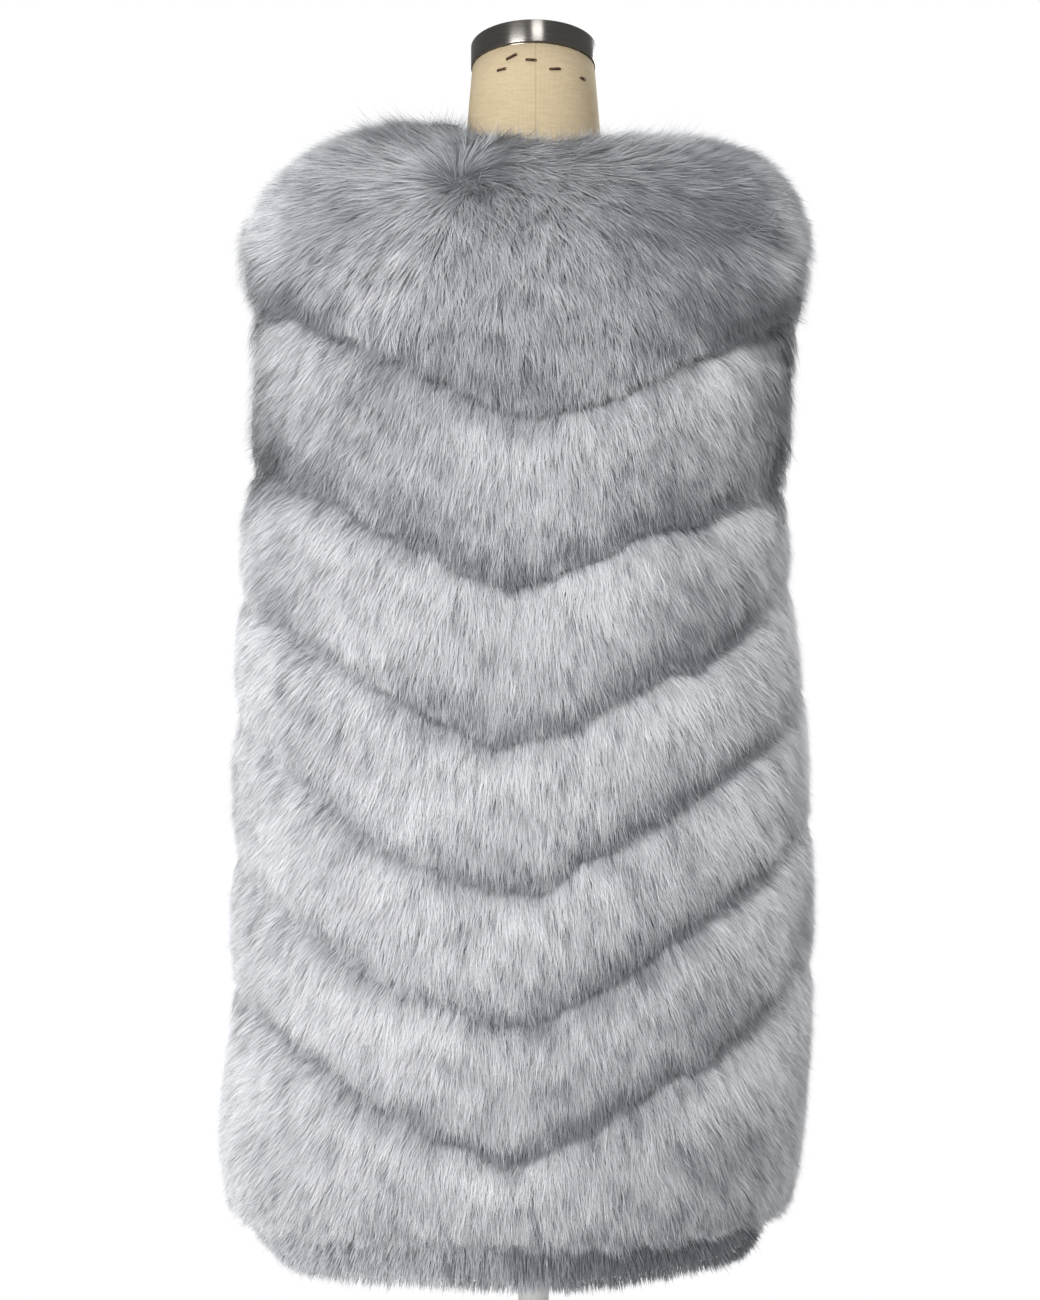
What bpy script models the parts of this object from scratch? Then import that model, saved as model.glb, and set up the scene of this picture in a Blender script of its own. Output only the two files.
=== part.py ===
"""A long fur gilet on a dress form, as solids in metres, +Z up, front towards -Y.

The gilet is cut as a tailor cuts it: a back yoke, six chevron strips and a hem strip
across the back, and the same strips again on each front, which meet edge to edge at the
centre front. Each strip is one thick wall. Its inner face is the knitted backing, and its
outer face is where the pile ends, so a strip is a padded roll with a groove at each seam.

Places on the cloth have two coordinates. The angle runs round the body: 0 at the centre
back, 90 degrees at the side towards +X, which is the left one seen from the back, -90 at
the right one and 180 at the centre front. The climb is the height up the body, and it
goes on past the body's top, over the shoulder to the neckline.
"""

from collections import namedtuple
from math import copysign, cos, pi, radians, sin

import bmesh
import bpy
from mathutils import Matrix, Vector

MM = 0.001

# ---------------------------------------------------------------- gilet: driving sizes
PILE = 50 * MM  # depth of the fur over its backing at the fullest part of a strip
SEAM_GAP = 0.3 * MM  # between pieces that are sewn together
FRONT_GAP = 8 * MM  # between the two front edges, which aren't fastened
ROUNDNESS = 0.87  # 1 is an ellipse; less fills out the corners of the body's section

# The backing, as half widths and depths from the form's axis. Left and right are the
# sides seen from the back.
Section = namedtuple("Section", "height left right back front")
SECTIONS = (
    Section(height=0.420, left=0.232, right=0.186, back=0.150, front=0.152),
    Section(height=0.500, left=0.238, right=0.197, back=0.153, front=0.154),
    Section(height=0.620, left=0.227, right=0.205, back=0.150, front=0.154),
    Section(height=0.760, left=0.223, right=0.207, back=0.148, front=0.152),
    Section(height=0.890, left=0.225, right=0.204, back=0.144, front=0.152),
    Section(height=1.000, left=0.220, right=0.187, back=0.143, front=0.156),
    Section(height=1.100, left=0.212, right=0.185, back=0.145, front=0.158),
    Section(height=1.200, left=0.209, right=0.189, back=0.142, front=0.146),
)

# The seams between strips, as heights where they cross the back, the sides and the front,
# and the angle round the back where the chevron is lowest.
Seam = namedtuple("Seam", "back left right front apex")
YOKE_SEAM = Seam(back=1.142, left=1.268, right=1.250, front=1.130, apex=radians(0))
STRIP_SEAMS = (
    YOKE_SEAM,
    Seam(back=1.003, left=1.126, right=1.110, front=1.000, apex=radians(4)),
    Seam(back=0.870, left=1.006, right=1.012, front=0.872, apex=radians(6)),
    Seam(back=0.750, left=0.898, right=0.915, front=0.756, apex=radians(6)),
    Seam(back=0.640, left=0.773, right=0.808, front=0.650, apex=radians(6)),
    Seam(back=0.533, left=0.654, right=0.683, front=0.540, apex=radians(5)),
    Seam(back=0.465, left=0.462, right=0.466, front=0.466, apex=radians(0)),
)
HEM = Seam(back=0.440, left=0.437, right=0.449, front=0.444, apex=radians(0))

# Over the shoulder the cloth follows a curve from the body's top section to the neckline.
BODY_TOP = SECTIONS[-1].height
SHOULDER_CLIMB = 0.300  # length given to that curve
NECKLINE = BODY_TOP + SHOULDER_CLIMB
# It leaves the body rising and spreading, and comes to the neckline from out and below.
Quarter = namedtuple("Quarter", "neck_out neck_height spread rise out below")
LEFT_CURVE = Quarter(0.084, 1.384, spread=0.015, rise=0.163, out=0.130, below=0.020)
RIGHT_CURVE = Quarter(0.084, 1.368, spread=0.030, rise=0.170, out=0.130, below=0.002)
BACK_CURVE = Quarter(0.088, 1.366, spread=0.004, rise=0.080, out=0.034, below=0.036)
FRONT_CURVE = Quarter(0.106, 1.318, spread=0.000, rise=0.050, out=0.026, below=0.036)

# The armhole, as a rounded slot in the angle and the climb.
ARMHOLE_HALF_ANGLE = radians(25)
ARMHOLE_BOTTOM = 1.066
ARMHOLE_TOP = BODY_TOP + 0.40 * SHOULDER_CLIMB
ARMHOLE_SHAPE = 2.6
HALVINGS = 30  # steps in finding where a row meets the armhole

# The roll of a strip from its upper seam to its lower one, as shares of its width and of
# the pile's depth. The fur springs up from the upper seam and falls over the lower one.
Row = namedtuple("Row", "along depth")
SEAM_DEPTH = 0.66  # where two strips meet
STRIP_ROLL = (
    Row(0.00, SEAM_DEPTH),
    Row(0.06, 0.82),
    Row(0.20, 0.97),
    Row(0.45, 1.00),
    Row(0.75, 0.98),
    Row(0.93, 0.86),
    Row(1.00, SEAM_DEPTH),
)
YOKE_ROLL = (
    Row(0.00, 0.62),
    Row(0.05, 0.84),
    Row(0.13, 0.96),
    Row(0.24, 1.00),
    Row(0.36, 1.00),
    Row(0.48, 1.02),
    Row(0.60, 1.04),
    Row(0.72, 1.04),
    Row(0.85, 1.08),
    Row(0.95, 1.02),
    Row(1.00, SEAM_DEPTH),
)
HEM_ROLL = (
    Row(0.00, SEAM_DEPTH),
    Row(0.25, 0.72),
    Row(0.65, 0.70),
    Row(1.00, 0.50),
)
BACK_COLUMNS = 12  # on each half of the back
FRONT_COLUMNS = 11

# How far the pile leans past a free edge, as a share of its depth, and from how near.
EDGE_LEAN = 0.75
EDGE_REACH = 45 * MM
GAP_SHARE = 0.6  # the most of half the armhole's width that the lean may fill
NECK_LEAN = 0.50
NECK_REACH = 0.20  # as a share of the yoke's width
HEM_LEAN = 0.70

# The rolls swell and thin a little along their length.
SWELL = 0.05
SWELLS_ROUND = 7
SWELL_SHIFT = 1.9  # between one strip and the next, in radians

# ---------------------------------------------------------------- dress form: sizes
FormRing = namedtuple("FormRing", "height half_width back front")
FORM_RINGS = (
    FormRing(0.700, 0.148, 0.100, 0.098),
    FormRing(0.712, 0.156, 0.107, 0.104),
    FormRing(0.790, 0.165, 0.116, 0.108),
    FormRing(0.870, 0.150, 0.106, 0.102),
    FormRing(0.940, 0.126, 0.088, 0.094),
    FormRing(0.985, 0.118, 0.080, 0.092),
    FormRing(1.040, 0.125, 0.086, 0.100),
    FormRing(1.110, 0.140, 0.098, 0.122),
    FormRing(1.160, 0.148, 0.106, 0.128),
    FormRing(1.220, 0.152, 0.112, 0.112),
    FormRing(1.272, 0.158, 0.108, 0.090),
    FormRing(1.308, 0.155, 0.094, 0.070),
    FormRing(1.330, 0.139, 0.080, 0.062),
    FormRing(1.347, 0.110, 0.068, 0.060),
    FormRing(1.360, 0.080, 0.062, 0.060),
    FormRing(1.380, 0.067, 0.060, 0.060),
    FormRing(1.420, 0.062, 0.060, 0.060),
    FormRing(1.455, 0.059, 0.058, 0.058),
)
FORM_ROUNDNESS = 0.94
FORM_SIDES = 32
CAP_TILT = radians(7)  # the cap leans forward, so its back edge is the higher one
CAP_RADIUS = 57.5 * MM
CAP_RIM = 22 * MM
CAP_BEVEL = 1.5 * MM
NECK_TOP = 1.483  # height of the tilted cut through the neck, on the axis
NECK_RADIUS = 56.5 * MM
FORM_GAP = 0.3 * MM  # where cap, pole and base meet the form and each other

POLE_RADIUS = 14 * MM
FLANGE_RADIUS = 50 * MM
FLANGE_THICKNESS = 5 * MM
BASE_RADIUS = 0.220
BASE_THICKNESS = 8 * MM
HUB_RADIUS = 30 * MM
HUB_HEIGHT = 24 * MM
TURNED_STEPS = 32

# ---------------------------------------------------------------- finishes
Finish = namedtuple("Finish", "colour roughness metallic")
FINISHES = {
    "fur": Finish((0.46, 0.48, 0.52), 0.80, 0.0),
    "linen": Finish((0.62, 0.52, 0.36), 0.85, 0.0),
    "steel": Finish((0.60, 0.59, 0.57), 0.30, 1.0),
    "enamel": Finish((0.78, 0.78, 0.77), 0.40, 0.0),
}


def smooth_step(share):
    share = min(1.0, max(0.0, share))
    return share * share * (3 - 2 * share)


def angle_off_axis(distance, size):
    """The angle that takes a point this far off an axis of a section of that size."""
    return (distance / size) ** (1 / ROUNDNESS)


def read_table(rows, column, height):
    """A column of a table at any height, on a smooth curve through its rows."""
    heights = [row.height for row in rows]
    values = [getattr(row, column) for row in rows]
    height = min(heights[-1], max(heights[0], height))
    upper = next(i for i in range(1, len(rows)) if heights[i] >= height)

    def slope(i):
        low, high = max(0, i - 1), min(len(rows) - 1, i + 1)
        return (values[high] - values[low]) / (heights[high] - heights[low])

    lower = upper - 1
    step = heights[upper] - heights[lower]
    t = (height - heights[lower]) / step
    return (
        (2 * t**3 - 3 * t**2 + 1) * values[lower]
        + (t**3 - 2 * t**2 + t) * step * slope(lower)
        + (3 * t**2 - 2 * t**3) * values[upper]
        + (t**3 - t**2) * step * slope(upper)
    )


def rounded(value, power):
    return copysign(abs(value) ** power, value)


def section_point(angle, height, left, right, back, front, power):
    """A point at this angle on a section with those half widths and depths."""
    across = rounded(sin(angle), power)
    along = rounded(cos(angle), power)
    return Vector(
        (
            across * (left if across > 0 else right),
            along * (back if along > 0 else front),
            height,
        )
    )


def body_point(angle, height):
    """A point of the backing below the shoulders."""
    left, right, back, front = (
        read_table(SECTIONS, column, height)
        for column in ("left", "right", "back", "front")
    )
    return section_point(angle, height, left, right, back, front, ROUNDNESS)


def quarter_value(angle, column):
    """A size of the shoulder curve at this angle, between those at back, side and front."""
    side = LEFT_CURVE if sin(angle) > 0 else RIGHT_CURVE
    end = BACK_CURVE if cos(angle) > 0 else FRONT_CURVE
    side_share = sin(angle) ** 2
    at_side, at_end = getattr(side, column), getattr(end, column)
    return at_side * side_share + at_end * (1 - side_share)


def shoulder_point(angle, share):
    """A point of the backing on the curve from the body's top (0) to the neckline (1)."""
    outward = Vector((sin(angle), cos(angle), 0))
    start = body_point(angle, BODY_TOP)
    end = outward * quarter_value(angle, "neck_out")
    end.z = quarter_value(angle, "neck_height")
    first = start + outward * quarter_value(angle, "spread")
    first.z += quarter_value(angle, "rise")
    second = end + outward * quarter_value(angle, "out")
    second.z -= quarter_value(angle, "below")
    rest = 1 - share
    return (
        start * rest**3
        + first * (3 * rest**2 * share)
        + second * (3 * rest * share**2)
        + end * share**3
    )


def backing_point(angle, climb):
    if climb <= BODY_TOP:
        return body_point(angle, climb)
    return shoulder_point(angle, (climb - BODY_TOP) / SHOULDER_CLIMB)


def frame_at(angle, climb):
    """The cloth's outward normal, its direction round the body and its direction up."""
    turn, step = radians(0.5), 1 * MM
    round_body = backing_point(angle + turn, climb) - backing_point(angle - turn, climb)
    low, high = max(SECTIONS[0].height, climb - step), min(NECKLINE, climb + step)
    upward = backing_point(angle, high) - backing_point(angle, low)
    normal = upward.cross(round_body).normalized()
    return normal, round_body.normalized(), upward.normalized()


def seam_climb(seam, angle):
    """The climb of a chevron seam: lowest at its apex and at the front edges."""
    if cos(angle) > 0:
        middle, apex = seam.back, seam.apex
        left_part = angle > apex
    else:
        middle, apex = seam.front, copysign(pi, angle)
        left_part = angle > 0
    side, at_side = (seam.left, pi / 2) if left_part else (seam.right, -pi / 2)
    share = (angle - apex) / (at_side - apex)
    return middle + (side - middle) * (sin(share * pi / 2) + share) / 2


def armhole_angle(climb):
    """Half the angle that the armhole takes out of the cloth at this climb."""
    share = (climb - ARMHOLE_BOTTOM) / (ARMHOLE_TOP - ARMHOLE_BOTTOM)
    from_middle = abs(2 * share - 1)
    if from_middle >= 1:
        return 0.0
    return ARMHOLE_HALF_ANGLE * (1 - from_middle**ARMHOLE_SHAPE) ** 0.5


def climb_between(upper, lower, along, angle):
    """The climb a share of the way down from one seam to the next."""
    top = NECKLINE if upper is None else seam_climb(upper, angle)
    return top + (seam_climb(lower, angle) - top) * along


def side_end(side, panel, upper, lower, along):
    """The angle where this row of a back (1) or front (-1) panel ends at the side."""
    half_seam = angle_off_axis(SEAM_GAP / 2, SECTIONS[0].back)
    on_cloth = pi / 2 - panel * ARMHOLE_HALF_ANGLE
    past_end = pi / 2
    for _ in range(HALVINGS):
        angle = (on_cloth + past_end) / 2
        climb = climb_between(upper, lower, along, side * angle)
        if abs(pi / 2 - angle) > max(half_seam, armhole_angle(climb)):
            on_cloth = angle
        else:
            past_end = angle
    return on_cloth


def front_end():
    """The angle of a front edge, half the front gap from the middle."""
    return pi - angle_off_axis(FRONT_GAP / 2, SECTIONS[0].left)


def swell(strips_down, angle):
    return 1 + SWELL * sin(SWELLS_ROUND * angle + SWELL_SHIFT * strips_down)


def lean_at_side(side, panel, angle, climb, end):
    """How far the pile leans over the armhole's edge here, as a share of its depth."""
    edge = backing_point(side * end, climb)
    half_gap = (backing_point(side * pi / 2, climb) - edge).length
    from_edge = (backing_point(side * angle, climb) - edge).length
    most = min(EDGE_LEAN, GAP_SHARE * half_gap / PILE)
    return side * panel * most * smooth_step(1 - from_edge / EDGE_REACH)


def cloth_loop(strip, roll, upper, lower, angle_of, lean_of):
    """One closed loop through the wall: down its outer face and back up its inner one."""
    outer, inner = [], []
    for row in roll:
        angle = angle_of(row.along)
        climb = climb_between(upper, lower, row.along, angle)
        base = backing_point(angle, climb)
        normal, round_body, upward = frame_at(angle, climb)
        if row.along == 0 and upper is not None:
            base -= upward * SEAM_GAP / 2
        if row.along == 1 and lower is not HEM:
            base += upward * SEAM_GAP / 2
        lean = round_body * lean_of(row.along, angle, climb)
        if upper is None:
            lean += upward * NECK_LEAN * smooth_step(1 - row.along / NECK_REACH)
        if lower is HEM:
            lean -= upward * HEM_LEAN * row.along
        depth = PILE * row.depth * swell(strip + row.along, angle)
        outer.append(base + (normal + lean) * depth)
        inner.append(base)
    return outer + inner[::-1]


def add_patch(mesh, first, second, third, fourth):
    mesh.faces.new((first, second, third))
    mesh.faces.new((first, third, fourth))


def loft(name, loops, finish):
    """A solid through loops of equal length, its ends closed like a ladder.

    Each four-sided patch is two triangles, split from outer row to inner row, so that the
    two walls at a seam bend in the same way and stay parallel.
    """
    mesh = bmesh.new()
    rings = [[mesh.verts.new(point) for point in loop] for loop in loops]
    for ring, following in zip(rings, rings[1:]):
        for i in range(1, len(ring)):
            add_patch(mesh, ring[i - 1], ring[i], following[i], following[i - 1])
        add_patch(mesh, ring[0], following[0], following[-1], ring[-1])
    for ring in (rings[0], rings[-1]):
        for i in range(1, len(ring) // 2):
            add_patch(mesh, ring[i - 1], ring[i], ring[-1 - i], ring[-i])
    bmesh.ops.recalc_face_normals(mesh, faces=mesh.faces)
    return add_object(name, mesh, finish)


def add_object(name, mesh, finish):
    data = bpy.data.meshes.new(name)
    mesh.to_mesh(data)
    mesh.free()
    data.shade_smooth()
    data.set_sharp_from_angle(angle=radians(40))
    data.materials.append(bpy.data.materials[finish])
    made = bpy.data.objects.new(name, data)
    bpy.data.collections["gilet on dress form"].objects.link(made)
    return made


def back_piece(name, strip, roll, upper, lower):
    """A piece across the whole back, from one side to the other."""
    ends = {
        (side, row.along): side_end(side, 1, upper, lower, row.along)
        for side in (1, -1)
        for row in roll
    }
    loops = []
    for column in range(-BACK_COLUMNS, BACK_COLUMNS + 1):
        side = 1 if column >= 0 else -1
        share = column / BACK_COLUMNS

        def angle_of(along):
            return ends[side, along] * share

        def lean_of(along, angle, climb):
            return lean_at_side(side, 1, abs(angle), climb, ends[side, along])

        loops.append(cloth_loop(strip, roll, upper, lower, angle_of, lean_of))
    return loft(name, loops, "fur")


def front_piece(name, side, strip, roll, upper, lower):
    """A piece of one front, from the side to the front edge."""
    ends = {row.along: side_end(side, -1, upper, lower, row.along) for row in roll}
    loops = []
    for column in range(FRONT_COLUMNS + 1):
        share = column / FRONT_COLUMNS

        def angle_of(along):
            return side * (ends[along] + (front_end() - ends[along]) * share)

        def lean_of(along, angle, climb):
            return lean_at_side(side, -1, abs(angle), climb, ends[along])

        loops.append(cloth_loop(strip, roll, upper, lower, angle_of, lean_of))
    return loft(name, loops, "fur")


def add_gilet():
    cuts = [("yoke", YOKE_ROLL, None, YOKE_SEAM)]
    for number, (upper, lower) in enumerate(zip(STRIP_SEAMS, STRIP_SEAMS[1:]), 1):
        cuts.append((f"strip_{number}", STRIP_ROLL, upper, lower))
    cuts.append(("hem_strip", HEM_ROLL, STRIP_SEAMS[-1], HEM))
    for strip, (cut, roll, upper, lower) in enumerate(cuts):
        back_piece(f"back_{cut}", strip, roll, upper, lower)
        for side, word in ((-1, "right"), (1, "left")):
            front_piece(f"front_{word}_{cut}", side, strip, roll, upper, lower)


def turn_steps(count):
    return [2 * pi * step / count for step in range(count)]


def form_ring(row):
    half = row.half_width
    return [
        section_point(angle, row.height, half, half, row.back, row.front, FORM_ROUNDNESS)
        for angle in turn_steps(FORM_SIDES)
    ]


def neck_cut():
    """The tilted ring under the cap."""
    tilt = Matrix.Rotation(CAP_TILT, 3, "X")
    middle = Vector((0, 0, NECK_TOP))
    return [
        middle + tilt @ Vector((NECK_RADIUS * sin(angle), NECK_RADIUS * cos(angle), 0))
        for angle in turn_steps(FORM_SIDES)
    ]


def add_form():
    """The covered body: rings up to the neck, then the tilted cut under the cap."""
    mesh = bmesh.new()
    rings = [form_ring(row) for row in FORM_RINGS] + [neck_cut()]
    rings = [[mesh.verts.new(point) for point in ring] for ring in rings]
    for ring, following in zip(rings, rings[1:]):
        for i in range(FORM_SIDES):
            mesh.faces.new((ring[i - 1], ring[i], following[i], following[i - 1]))
    mesh.faces.new(rings[0])
    mesh.faces.new(rings[-1])
    bmesh.ops.recalc_face_normals(mesh, faces=mesh.faces)
    return add_object("form_body", mesh, "linen")


def turned(name, profile, finish):
    """A solid turned about Z from (radius, height) points, from its top to its bottom."""
    mesh = bmesh.new()
    points = [mesh.verts.new((radius, 0, height)) for radius, height in profile]
    for first, second in zip(points, points[1:]):
        mesh.edges.new((first, second))
    made = add_object(name, mesh, finish)
    screw = made.modifiers.new("turning", "SCREW")
    screw.axis = "Z"
    screw.steps = screw.render_steps = TURNED_STEPS
    screw.use_merge_vertices = True
    screw.merge_threshold = 0.0001
    return made


def add_cap():
    """The neck's steel cap: a lid with a rim, standing on the tilted cut."""
    top = CAP_RIM
    cap = turned(
        "neck_cap",
        (
            (0, top),
            (CAP_RADIUS - CAP_BEVEL, top),
            (CAP_RADIUS, top - CAP_BEVEL),
            (CAP_RADIUS, 0),
            (0, 0),
        ),
        "steel",
    )
    up = Matrix.Rotation(CAP_TILT, 3, "X") @ Vector((0, 0, 1))
    cap.location = Vector((0, 0, NECK_TOP)) + up * FORM_GAP
    cap.rotation_euler = (CAP_TILT, 0, 0)


def add_stand():
    """A pole with a flange under the form, on a round plate."""
    form_bottom = FORM_RINGS[0].height
    flange_top = form_bottom - FORM_GAP
    pole_foot = BASE_THICKNESS + HUB_HEIGHT + FORM_GAP
    turned(
        "stand_pole",
        (
            (0, flange_top),
            (FLANGE_RADIUS, flange_top),
            (FLANGE_RADIUS, flange_top - FLANGE_THICKNESS),
            (POLE_RADIUS, flange_top - FLANGE_THICKNESS),
            (POLE_RADIUS, pole_foot),
            (0, pole_foot),
        ),
        "enamel",
    )
    edge = BASE_THICKNESS / 3
    turned(
        "stand_base",
        (
            (0, BASE_THICKNESS + HUB_HEIGHT),
            (HUB_RADIUS - edge, BASE_THICKNESS + HUB_HEIGHT),
            (HUB_RADIUS, BASE_THICKNESS + HUB_HEIGHT - edge),
            (HUB_RADIUS, BASE_THICKNESS),
            (BASE_RADIUS - edge, BASE_THICKNESS),
            (BASE_RADIUS, BASE_THICKNESS - edge),
            (BASE_RADIUS, 0),
            (0, 0),
        ),
        "enamel",
    )


def clear_scene():
    for old in list(bpy.data.objects):
        bpy.data.objects.remove(old)


def add_finishes():
    for name, finish in FINISHES.items():
        material = bpy.data.materials.new(name)
        material.use_nodes = True
        shader = material.node_tree.nodes["Principled BSDF"]
        shader.inputs["Base Color"].default_value = (*finish.colour, 1)
        shader.inputs["Roughness"].default_value = finish.roughness
        shader.inputs["Metallic"].default_value = finish.metallic


clear_scene()
parts = bpy.data.collections.new("gilet on dress form")
bpy.context.scene.collection.children.link(parts)
add_finishes()
add_gilet()
add_form()
add_cap()
add_stand()
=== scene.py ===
"""The looks of a long faux-fur gilet on a dress form, in metres, +Z up.

The gilet's back faces +Y, as in the photograph. Each strip of it is made as a furrier has
it: a thin knitted backing, which is the sheet that is cut and sewn, and on it the pile, an
undercoat with thousands of separate hairs that are combed down and out to the sides.

Places on the cloth have the two coordinates of the part's source: the angle round the
body, 0 at the centre back and 90 degrees at the side towards +X, and the climb, which is
the height up the body and then the way over the shoulder to the neckline.
"""

from collections import namedtuple
from math import cos, pi, radians, sin

import bmesh
import bpy
import numpy as np
from mathutils import Matrix, Vector
from mathutils.bvhtree import BVHTree


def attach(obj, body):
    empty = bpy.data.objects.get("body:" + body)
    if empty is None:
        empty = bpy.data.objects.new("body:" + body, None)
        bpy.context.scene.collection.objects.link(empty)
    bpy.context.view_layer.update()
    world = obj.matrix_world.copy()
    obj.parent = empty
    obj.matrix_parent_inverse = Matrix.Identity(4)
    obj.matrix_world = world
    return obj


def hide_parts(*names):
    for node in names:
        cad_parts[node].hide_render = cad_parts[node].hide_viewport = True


MM = 0.001

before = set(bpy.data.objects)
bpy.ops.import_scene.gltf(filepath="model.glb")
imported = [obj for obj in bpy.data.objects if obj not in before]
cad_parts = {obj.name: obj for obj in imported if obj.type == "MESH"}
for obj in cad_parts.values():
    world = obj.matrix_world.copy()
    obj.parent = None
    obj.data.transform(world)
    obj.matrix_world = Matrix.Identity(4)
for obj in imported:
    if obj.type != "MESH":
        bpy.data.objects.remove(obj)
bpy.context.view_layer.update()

# ------------------------------------------------- the cloth's sizes, as in the source
PILE = 50 * MM
SEAM_GAP = 0.3 * MM
FRONT_GAP = 8 * MM
ROUNDNESS = 0.87

Section = namedtuple("Section", "height left right back front")
SECTIONS = (
    Section(height=0.420, left=0.232, right=0.186, back=0.150, front=0.152),
    Section(height=0.500, left=0.238, right=0.197, back=0.153, front=0.154),
    Section(height=0.620, left=0.227, right=0.205, back=0.150, front=0.154),
    Section(height=0.760, left=0.223, right=0.207, back=0.148, front=0.152),
    Section(height=0.890, left=0.225, right=0.204, back=0.144, front=0.152),
    Section(height=1.000, left=0.220, right=0.187, back=0.143, front=0.156),
    Section(height=1.100, left=0.212, right=0.185, back=0.145, front=0.158),
    Section(height=1.200, left=0.209, right=0.189, back=0.142, front=0.146),
)

Seam = namedtuple("Seam", "back left right front apex")
YOKE_SEAM = Seam(back=1.142, left=1.268, right=1.250, front=1.130, apex=radians(0))
STRIP_SEAMS = (
    YOKE_SEAM,
    Seam(back=1.003, left=1.126, right=1.110, front=1.000, apex=radians(4)),
    Seam(back=0.870, left=1.006, right=1.012, front=0.872, apex=radians(6)),
    Seam(back=0.750, left=0.898, right=0.915, front=0.756, apex=radians(6)),
    Seam(back=0.640, left=0.773, right=0.808, front=0.650, apex=radians(6)),
    Seam(back=0.533, left=0.654, right=0.683, front=0.540, apex=radians(5)),
    Seam(back=0.465, left=0.462, right=0.466, front=0.466, apex=radians(0)),
)
HEM = Seam(back=0.440, left=0.437, right=0.449, front=0.444, apex=radians(0))

BODY_TOP = SECTIONS[-1].height
SHOULDER_CLIMB = 0.300
NECKLINE = BODY_TOP + SHOULDER_CLIMB
Quarter = namedtuple("Quarter", "neck_out neck_height spread rise out below")
LEFT_CURVE = Quarter(0.084, 1.384, spread=0.015, rise=0.163, out=0.130, below=0.020)
RIGHT_CURVE = Quarter(0.084, 1.368, spread=0.030, rise=0.170, out=0.130, below=0.002)
BACK_CURVE = Quarter(0.088, 1.366, spread=0.004, rise=0.080, out=0.034, below=0.036)
FRONT_CURVE = Quarter(0.106, 1.318, spread=0.000, rise=0.050, out=0.026, below=0.036)

ARMHOLE_HALF_ANGLE = radians(25)
ARMHOLE_BOTTOM = 1.066
ARMHOLE_TOP = BODY_TOP + 0.40 * SHOULDER_CLIMB
ARMHOLE_SHAPE = 2.6

EDGE_LEAN = 0.75
EDGE_REACH = 45 * MM
EDGE_RISE = 70 * MM
GAP_SHARE = 0.6
NECK_LEAN = 0.50
NECK_REACH = 0.20
HEM_LEAN = 0.70
RIGHT_FLATTER = 0.12  # the share of its depth that the pile is flatter by at -X
SWELL = 0.05
SWELLS_ROUND = 7
SWELL_SHIFT = 1.9

# The roll of a strip: the pile's depth, as a share of PILE, at places that are shares of
# the way from its upper seam to its lower one. Past that it dives under the next strip.
Roll = namedtuple("Roll", "places depths")
STRIP_ROLL = Roll(
    places=(0.00, 0.05, 0.13, 0.25, 0.45, 0.75, 0.92, 1.00, 1.08, 1.30),
    depths=(0.60, 0.72, 0.88, 0.97, 1.01, 1.00, 0.92, 0.76, 0.60, 0.35),
)
YOKE_ROLL = Roll(
    places=(0.00, 0.05, 0.13, 0.24, 0.36, 0.48, 0.60, 0.72, 0.85, 0.95, 1.00, 1.05, 1.15),
    depths=(0.46, 0.62, 0.74, 0.80, 0.84, 0.90, 0.97, 1.02, 1.06, 1.02, 0.80, 0.62, 0.40),
)
HEM_ROLL = Roll(places=(0.00, 0.25, 0.65, 1.00, 1.60), depths=(0.66, 0.72, 0.70, 0.50, 0.42))
# Round the sides the grooves are shallower: hair that hangs from above fills them.
SIDE_FILL = 0.70
FILLED = 0.93
# Where the pile's grooves stray up or down from the seams of the back, seam by seam from
# the yoke's: the angle in degrees, the reach in degrees and the rise in millimetres.
STRAYS = (
    ((-46, 8, 8), (-12, 8, -4), (36, 12, 5), (66, 10, -6)),
    ((-70, 10, -6), (-18, 12, 7), (20, 8, 6), (40, 10, 4)),
    ((-36, 8, -8), (-6, 6, -5), (22, 10, 6), (50, 10, 5)),
    ((-22, 12, -6), (0, 4, -8), (26, 9, -12), (66, 12, 10)),
    ((-66, 10, 8), (-8, 10, -6), (10, 6, 4), (28, 6, -9)),
    ((-66, 10, 8), (-34, 8, -3), (0, 5, -6), (40, 6, 4), (64, 12, 10)),
    (),
)

# ------------------------------------------------- how the hair lies
# How far it is turned from straight down towards the side, round the whole body: from the
# centre back out to the sides, then back again towards the sides from the centre front.
TURN_AT = (0, 20, 35, 50, 65, 90, 110, 135, 160, 180)
TURNED = (0, 6, 14, 26, 36, 30, 4, -22, -16, 0)
# The yoke's hair swirls round a parting on one shoulder and sweeps off both shoulders, so
# it has its own turns, by angle (columns) and by share of the way down (rows). They are
# turns towards +X, as the angle itself.
YOKE_COLUMNS = (
    -180, -160, -135, -110, -90, -58, -45, -33, -20, 0,
    20, 24, 35, 48, 60, 90, 110, 135, 160, 180,
)
YOKE_TURNS = {
    0.10: (0, 8, 15, 0, -35, -60, -58, -50, -35, -38, -44, 25, 55, 50, 40, 30, 0, -15, -8, 0),
    0.40: (0, 12, 18, -4, -40, -62, -52, -25, -6, -13, -32, 10, 42, 50, 50, 36, 4, -18, -12, 0),
    0.65: (0, 14, 20, -4, -36, -62, -30, -10, -3, -7, -12, -2, 18, 30, 58, 38, 4, -20, -14, 0),
    0.85: (0, 16, 22, -4, -32, -30, -18, -8, -5, -3, 0, 2, 8, 16, 30, 34, 4, -22, -16, 0),
}
# Where the hair parts one sees down to its roots: hollows, by place and reach, where the hair
# is tousled and painted shade darkens it.
Hollow = namedtuple("Hollow", "angle climb reach")
HOLLOWS = (
    Hollow(radians(24.0), 1.398, 10 * MM),
    Hollow(radians(17.0), 1.388, 9 * MM),
    Hollow(radians(-49.0), 1.313, 12 * MM),
    Hollow(radians(-55.0), 1.303, 9 * MM),
)
WHORL = HOLLOWS[0]
WHORL_REACH = 26 * MM

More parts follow.
